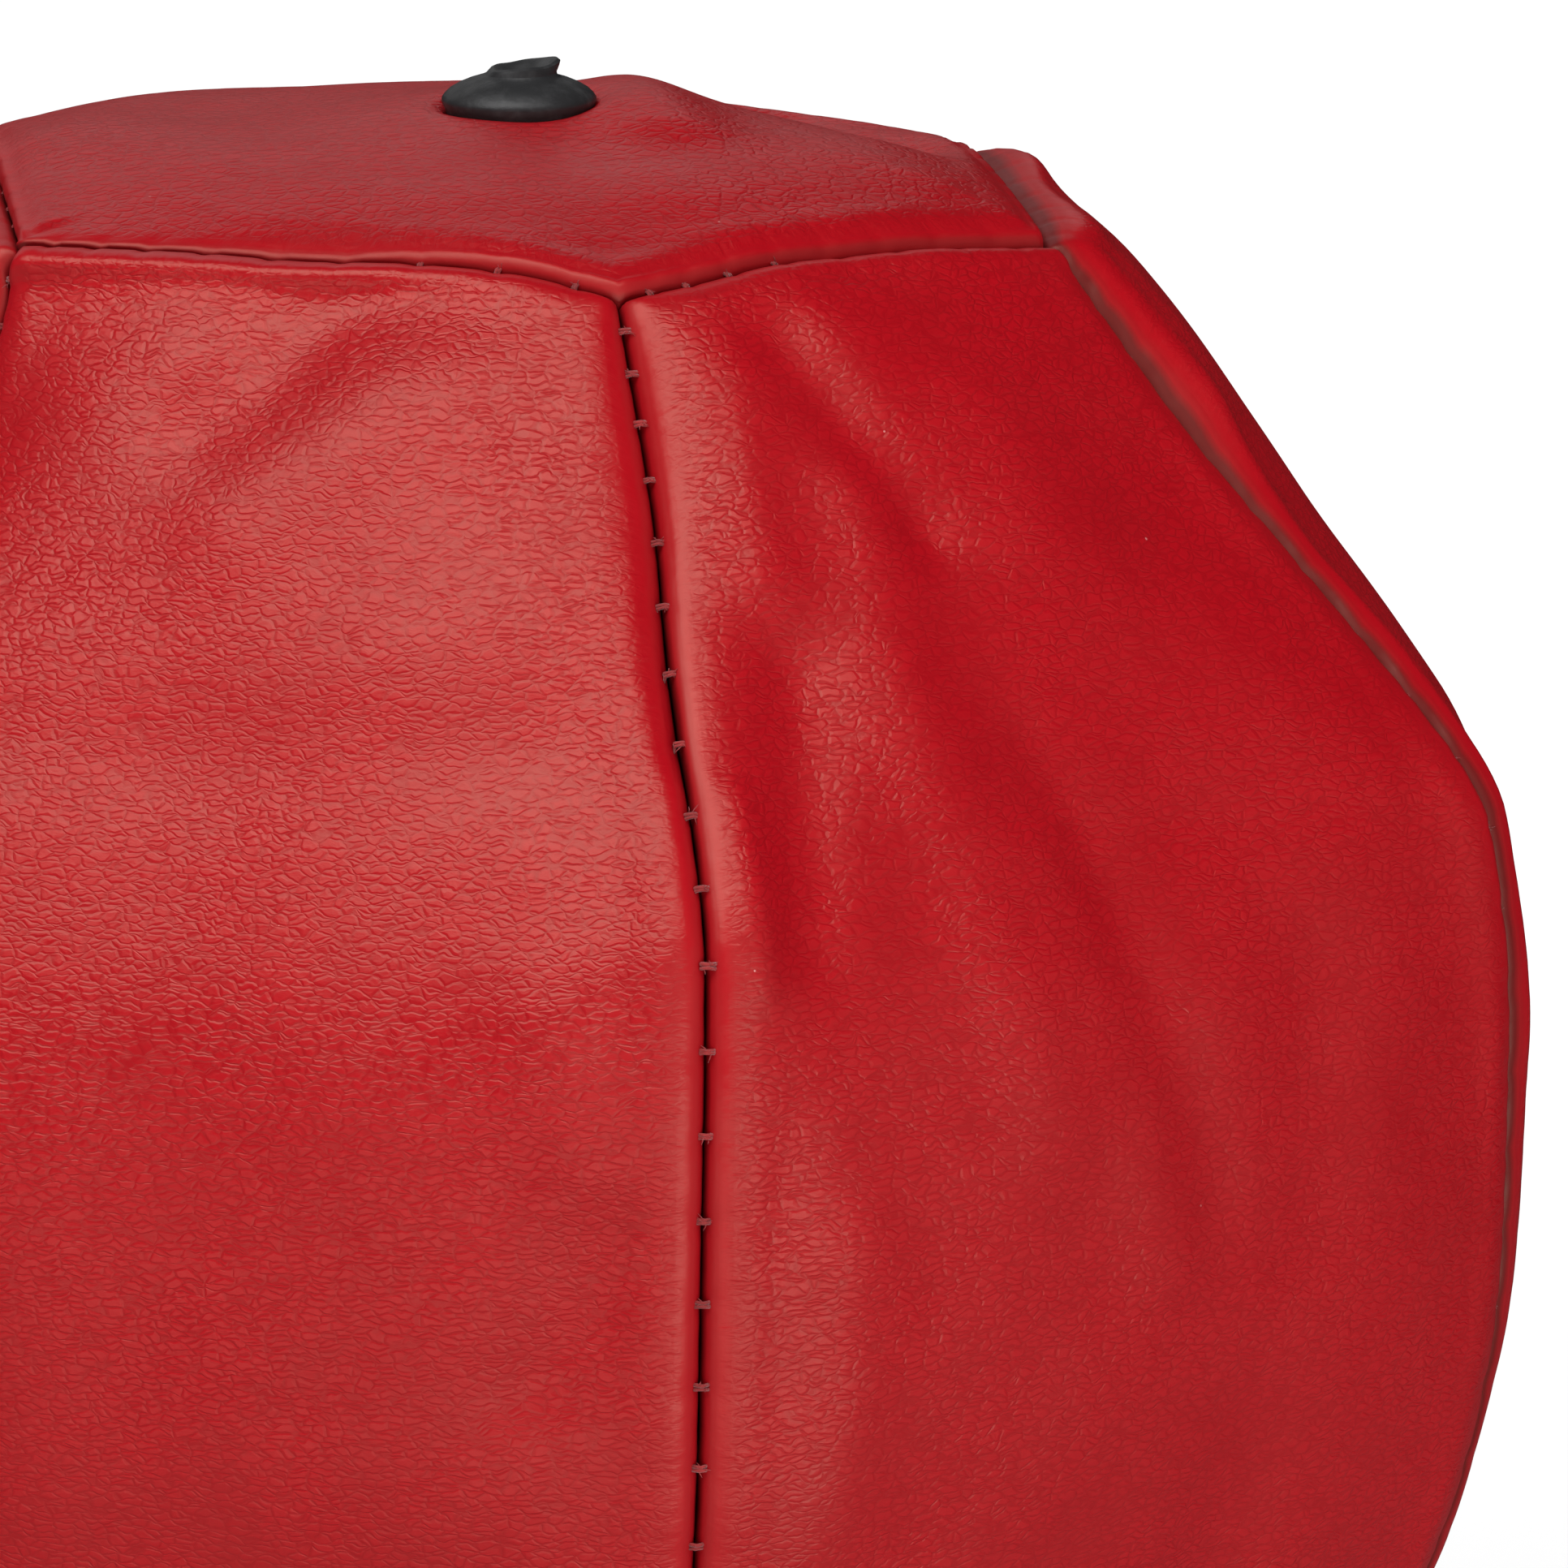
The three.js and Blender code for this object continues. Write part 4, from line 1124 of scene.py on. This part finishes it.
class OBJECT_OT_pole(bpy.types.Operator):
    """Makes the neck cup under the ball, the chromed pole and their screws"""
    bl_idname = "punching_ball.pole"
    bl_label = "Neck and pole"

    def execute(self, context):
        foot = level("neck_cup", 0)
        neck = turned("neck_cup_moulding", [(r, foot + z) for r, z in NECK], finish("black moulding"),
                      bevel=0.15, ring=True)
        settle(neck, BALL, ["neck_cup"])
        low, high = level("pole_tube", 0), level("pole_tube", 1)
        wall = [(10.0, low + 0.5), (10.4, low), (10.7, low), (11, low + 0.4), (11, high - 0.4),
                (10.7, high), (10.4, high), (10.0, high - 0.5), (10.0, low + 0.5)]
        pole = turned("pole", wall, finish("polished chrome"), sides=128, bevel=0, ring=True)
        settle(pole, BALL, ["pole_tube"])
        for name, node, seat in SCREWS:
            middle = (level(node, 0) + level(node, 1)) / 2
            screw_head(name, 3.8, 2.4, (0, -seat, middle), "-Y", BALL, node)
        return {"FINISHED"}


COIL_RADIUS, WIRE_RADIUS, COIL_PITCH = 10.3, 1.7, 4.7
COIL_GAP = 0.04  # half the gap between two stretches of the spring
SPRING_FOOT = 58.0  # height that the helix is turned from


def coil(name, low, high):
    """A stretch of the spring: a round wire swept up its helix by a Screw modifier, with closed ends."""
    start_clean()
    turns = (high - low) / COIL_PITCH
    start = (low - SPRING_FOOT) / COIL_PITCH * 2 * math.pi
    bpy.ops.mesh.primitive_circle_add(
        vertices=20, radius=WIRE_RADIUS * MM, fill_type="NOTHING", location=(COIL_RADIUS * MM, 0, 0),
        rotation=(math.pi / 2, 0, 0))
    piece = bpy.context.object
    bpy.ops.object.transform_apply(location=True, rotation=True, scale=True)
    sweep = piece.modifiers.new("Screw", "SCREW")
    sweep.axis = "Z"
    sweep.angle = turns * 2 * math.pi
    sweep.screw_offset = (high - low) * MM
    sweep.steps = sweep.render_steps = max(int(turns * 40), 8)
    sweep.use_merge_vertices = False
    bpy.ops.object.modifier_apply(modifier="Screw")
    bpy.ops.object.mode_set(mode="EDIT")
    bpy.ops.mesh.select_all(action="DESELECT")
    bpy.ops.mesh.select_non_manifold()
    bpy.ops.mesh.fill_holes(sides=0)
    bpy.ops.mesh.select_all(action="SELECT")
    bpy.ops.mesh.normals_make_consistent(inside=False)
    bpy.ops.object.mode_set(mode="OBJECT")
    piece.matrix_world = Matrix.Translation((0, 0, low * MM)) @ Matrix.Rotation(start, 4, "Z")
    return finish_piece(piece, name, finish("spring wire"), bevel=0, angle=40)


HEAD_PLUG = [(5.4, 0), (6.9, 0), (7.5, 0.8), (7.5, 8), (12.2, 8), (12.8, 8.3), (13, 8.8), (13, 11.2),
             (12.8, 11.7), (12.2, 12), (9.6, 12), (9.6, 24), (9.2, 25)]
FOOT_PLUG = [(16.2, 0), (16.8, 0.2), (17, 0.6), (17, 2.4), (16.8, 3), (16.2, 3.6), (7.5, 3.7), (7.5, 10.6),
             (6.9, 11.6), (3.6, 11.6), (3.2, 11.0)]


class OBJECT_OT_spring(bpy.types.Operator):
    """Makes the coil spring and the plugs that hold its ends"""
    bl_idname = "punching_ball.spring"
    bl_label = "Spring"

    def execute(self, context):
        foot = level("spring_lower_coils", 0) + WIRE_RADIUS
        lower = level("spring_middle_coil", 0) + WIRE_RADIUS
        upper = level("spring_middle_coil", 1) - WIRE_RADIUS
        head = level("spring_upper_coils", 1) - WIRE_RADIUS
        foot_turns = coil("spring_foot_turns", foot, lower - COIL_GAP)
        middle_turn = coil("spring_middle_turn", lower, upper)
        head_turns = coil("spring_head_turns", upper + COIL_GAP, head)
        settle(foot_turns, None, ["spring_lower_coils"])
        settle(middle_turn, "spring_middle", ["spring_middle_coil"])
        settle(head_turns, None, ["spring_upper_coils"])
        plug = level("lower_spring_plug", 1)
        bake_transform(foot_turns)
        plug = level("upper_spring_plug", 0)
        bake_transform(head_turns)
        for name, profile, body, node in (("spring_head_plug", HEAD_PLUG, BALL, "upper_spring_plug"),
                                          ("spring_foot_plug", FOOT_PLUG, "base", "lower_spring_plug")):
            low = level(node, 0)
            plug = turned(name, [(r, low + z) for r, z in profile], finish("zinc plate"), bevel=0.12)
            settle(plug, body, [node])
        return {"FINISHED"}


HOUSING = [(49.4, 8), (51.6, 8), (52, 8.4), (52, 11.4), (51.5, 11.9), (51.5, 12.5), (52, 13), (51.9, 16),
           (51.1, 21), (49.6, 26.4), (46.2, 33.6), (41.5, 40.3), (35.6, 45.9), (29, 50.0), (24.4, 51.9),
           (22.6, 52.6), (21.6, 53.4), (20.6, 54), (3.4, 54), (3.4, 50.5), (20, 50.5), (27, 47.4),
           (38.9, 38.3), (46.6, 25.6), (49.4, 15.5), (49.4, 8)]
SHAFT = 31.0  # height of the camshaft
# Seen from the middle of the base outwards, as (radius, distance from the middle).
BOSS = [(9.3, 38), (9.3, 49.9), (8.9, 50.5), (6.1, 50.6)]
BUSH = [(4.2, 40), (5.5, 40), (5.5, 50.95), (6.8, 50.95), (7, 51.1), (7, 51.5), (6.8, 51.6), (4.5, 51.6),
        (4.2, 51.4), (4.2, 40)]
BORE = [(5.9, -60), (5.9, 60)]


class OBJECT_OT_base(bpy.types.Operator):
    """Makes the domed base housing with its shaft bosses, and the nylon bushes in them"""
    bl_idname = "punching_ball.base"
    bl_label = "Base"

    def execute(self, context):
        shell = turned("base_dome", HOUSING, finish("black moulding"), sides=128, bevel=0, ring=True)
        for side in (1, -1):
            boss = turned("boss", [(r, side * x) for r, x in BOSS], finish("black moulding"), sides=64,
                          axis="X", at=(0, 0, SHAFT), bevel=0)
            combine(shell, boss, "UNION")
        bore = turned("bore", BORE, finish("black moulding"), sides=48, axis="X", at=(0, 0, SHAFT), bevel=0)
        combine(shell, bore, "DIFFERENCE")
        finish_piece(shell, "base_dome", finish("black moulding"), bevel=0.35, angle=35)
        settle(shell, "base", ["base_housing"])
        for side, word in ((1, "right"), (-1, "left")):
            bush = turned(f"bush_{word}", [(r, side * x) for r, x in BUSH], finish("natural nylon"), sides=48,
                          axis="X", at=(0, 0, SHAFT), bevel=0, ring=True)
            settle(bush, "base", [f"camshaft_bush_{word}"])
        return {"FINISHED"}


CUP = [(0.01, 7), (12, 6.9), (26, 5.9), (38, 4.2), (48, 2.1), (56, 0.25), (58, 0.02), (60, 0.3), (62, 0.02),
       (65.2, 0.02), (65.9, 0.3), (66, 0.8), (65.6, 1.6), (64, 2.1), (60, 3.0), (56.6, 4.2), (54.6, 5.4),
       (53.9, 6.6), (53.5, 7.5), (46.5, 7.6), (20, 12), (14.6, 13.6), (13.4, 15), (13, 21.8), (4.3, 22),
       (4.3, 13.2), (9.6, 13.2), (9.6, 9.6), (0.01, 9.6)]
TAB = ((60, -7, 0.4), (75.8, 7, 2.2))  # the pull tab's box before it is turned
TAB_RIBS = (67.5, 69.6, 71.7)  # where its ribs begin
TAB_TURN = -math.pi / 4


class OBJECT_OT_suction_cup(bpy.types.Operator):
    """Makes the suction cup with its thin skirt and pull tab"""
    bl_idname = "punching_ball.suction_cup"
    bl_label = "Suction cup"

    def execute(self, context):
        cup = turned("suction_skirt", CUP, finish("cup rubber"), sides=144, bevel=0)
        tab = box_solid(*TAB)
        bevel_edges(0.7, 3)
        for place in TAB_RIBS:
            combine(tab, box_solid((place, -5, 1.9), (place + 0.9, 5, 2.55)), "UNION")
        tab.matrix_world = Matrix.Rotation(TAB_TURN, 4, "Z") @ tab.matrix_world
        combine(cup, tab, "UNION")
        finish_piece(cup, "suction_skirt", finish("cup rubber"), bevel=0.12, angle=40, segments=1)
        settle(cup, None, ["suction_cup"])
        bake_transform(cup)
        return {"FINISHED"}


ARM = (52.0, 59.0)  # the lever arm's inner and outer face, from the middle of the base
LEVER_SCREW = (6.2, 2.7)  # radius and height of its head
GRIP_CORNER = 4.6  # radius of the grip's corners
RIB_START, RIB_PITCH, RIB_COUNT = 3.0, 2.3, 6
# A rib's groove: steps along the grip, and the size of its section there.
RIB = ((0, 0.97), (0.35, 0.90), (0.95, 0.90), (1.3, 0.97))


class OBJECT_OT_lever(bpy.types.Operator):
    """Makes the locking lever with its ribbed grip and its screw"""
    bl_idname = "punching_ball.lever"
    bl_label = "Lever"

    def execute(self, context):
        inner, outer = ARM
        hub = [(9.2, inner), (9.5, inner + 0.3), (9.5, outer - 0.3), (9.2, outer), (7.4, outer),
               (7.0, outer - 0.5), (6.7, outer - 0.5)]
        arm = turned("locking_lever", hub, finish("black moulding"), sides=72, axis="X",
                     at=(0, 0, SHAFT), bevel=0)
        tip = level("lever_arm", 0, 1)
        beam = box_solid((inner + 0.2, tip, SHAFT - 4.6), (outer - 0.2, -4, SHAFT + 4.6))
        combine(arm, beam, "UNION")
        web = box_solid((inner + 0.2, -20, SHAFT - 6.6), (outer - 0.2, -4, SHAFT + 6.6))
        bevel_edges(1.9, 1)
        combine(arm, web, "UNION")
        pocket = box_solid((outer - 1.2, -29, SHAFT - 2.6), (outer + 1, -12, SHAFT + 2.6))
        combine(arm, pocket, "DIFFERENCE")
        bore = turned("bore", [(4.3, inner - 2), (4.3, outer + 2)], finish("black moulding"), sides=40,
                      axis="X", at=(0, 0, SHAFT), bevel=0)
        combine(arm, bore, "DIFFERENCE")
        finish_piece(arm, "locking_lever", finish("black moulding"), bevel=0.35, angle=35)
        settle(arm, "lever", ["lever_arm"])
        settle(self.grip(), "lever", ["lever_grip"])
        radius, high = LEVER_SCREW
        seat = (level("lever_screw", 1, 0) - high, 0, SHAFT)
        screw_head("lever_screw_head", radius, high, seat, "X", "lever", "lever_screw")
        return {"FINISHED"}

    def grip(self):
        """A rounded sleeve with ribs across it, extruded along the arm station by station."""
        low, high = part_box("lever_grip")
        start_clean()
        bpy.ops.mesh.primitive_plane_add(size=1, location=(0, 0, 0))
        piece = bpy.context.object
        piece.scale = (high.x - low.x, high.z - low.z, 1)
        bpy.ops.object.transform_apply(location=True, rotation=True, scale=True)
        bpy.ops.object.mode_set(mode="EDIT")
        bpy.ops.mesh.select_all(action="SELECT")
        bpy.ops.mesh.bevel(offset=GRIP_CORNER * MM, segments=6, affect="VERTICES")
        bpy.ops.mesh.select_all(action="SELECT")
        length = (high.y - low.y) / MM
        stations = [(0, 0.86), (0.5, 0.93), (1.6, 0.97)]
        for number in range(RIB_COUNT):
            stations += [(RIB_START + number * RIB_PITCH + step, scale) for step, scale in RIB]
        stations += [(length - 3.4, 1.0), (length - 1.8, 0.98), (length - 0.6, 0.9), (length, 0.74)]
        at, size = stations[0]
        bpy.ops.transform.resize(value=(size, size, 1), center_override=(0, 0, 0))
        for z, scale in stations[1:]:
            bpy.ops.mesh.extrude_region_move(TRANSFORM_OT_translate={"value": (0, 0, (z - at) * MM)})
            share = scale / size
            bpy.ops.transform.resize(value=(share, share, 1), center_override=(0, 0, z * MM))
            at, size = z, scale
        bpy.ops.mesh.select_all(action="SELECT")
        bpy.ops.mesh.normals_make_consistent(inside=False)
        bpy.ops.object.mode_set(mode="OBJECT")
        middle = (low + high) / 2
        piece.matrix_world = Matrix.Translation((middle.x, high.y, middle.z)) @ TURNS["-Y"]
        return finish_piece(piece, "ribbed_grip", finish("red grip"), bevel=0.16, angle=28)


# What is left of the CAD model, and the finish of each: the parts inside, whose shape is right already.
LEFT = {
    "bladder": "bladder rubber", "clamp_plate": "zinc plate", "neck_washer": "zinc plate",
    "neck_bolt": "zinc plate", "pole_top_plug": "natural nylon", "deck_washer": "zinc plate",
    "deck_bolt": "zinc plate", "camshaft": "zinc plate", "camshaft_clip": "zinc plate",
    "draw_yoke": "zinc plate",
}


class OBJECT_OT_inner_parts(bpy.types.Operator):
    """Gives the parts carried over from the CAD model their finishes"""
    bl_idname = "punching_ball.inner_parts"
    bl_label = "Inner parts"

    def execute(self, context):
        for node, name in LEFT.items():
            for slot in bpy.data.objects[node].material_slots:
                slot.material = finish(name)
        return {"FINISHED"}


# ---------- the add-on ----------
STEPS = (OBJECT_OT_stage, OBJECT_OT_ball_cover, OBJECT_OT_stitches, OBJECT_OT_valve, OBJECT_OT_pole,
         OBJECT_OT_spring, OBJECT_OT_base, OBJECT_OT_suction_cup, OBJECT_OT_lever, OBJECT_OT_inner_parts)


class VIEW3D_PT_punching_ball(bpy.types.Panel):
    """Lists the steps that build the punching ball"""
    bl_label = "Punching Ball"
    bl_idname = "VIEW3D_PT_punching_ball"
    bl_space_type = "VIEW_3D"
    bl_region_type = "UI"
    bl_category = "Punching Ball"

    def draw(self, context):
        for group in (context.scene.ball, context.scene.stage):
            for key in group.bl_rna.properties.keys():
                if key not in ("rna_type", "name"):
                    self.layout.prop(group, key)
        for step in STEPS:
            self.layout.operator(step.bl_idname)


CLASSES = (BallSettings, StageSettings, *STEPS, VIEW3D_PT_punching_ball)


def register():
    for cls in CLASSES:
        bpy.utils.register_class(cls)
    bpy.types.Scene.ball = PointerProperty(type=BallSettings)
    bpy.types.Scene.stage = PointerProperty(type=StageSettings)


def unregister():
    del bpy.types.Scene.stage
    del bpy.types.Scene.ball
    for cls in reversed(CLASSES):
        bpy.utils.unregister_class(cls)


def main():
    register()
    for step in STEPS:
        group, call = step.bl_idname.split(".")
        getattr(getattr(bpy.ops, group), call)()


if __name__ == "__main__":
    main()
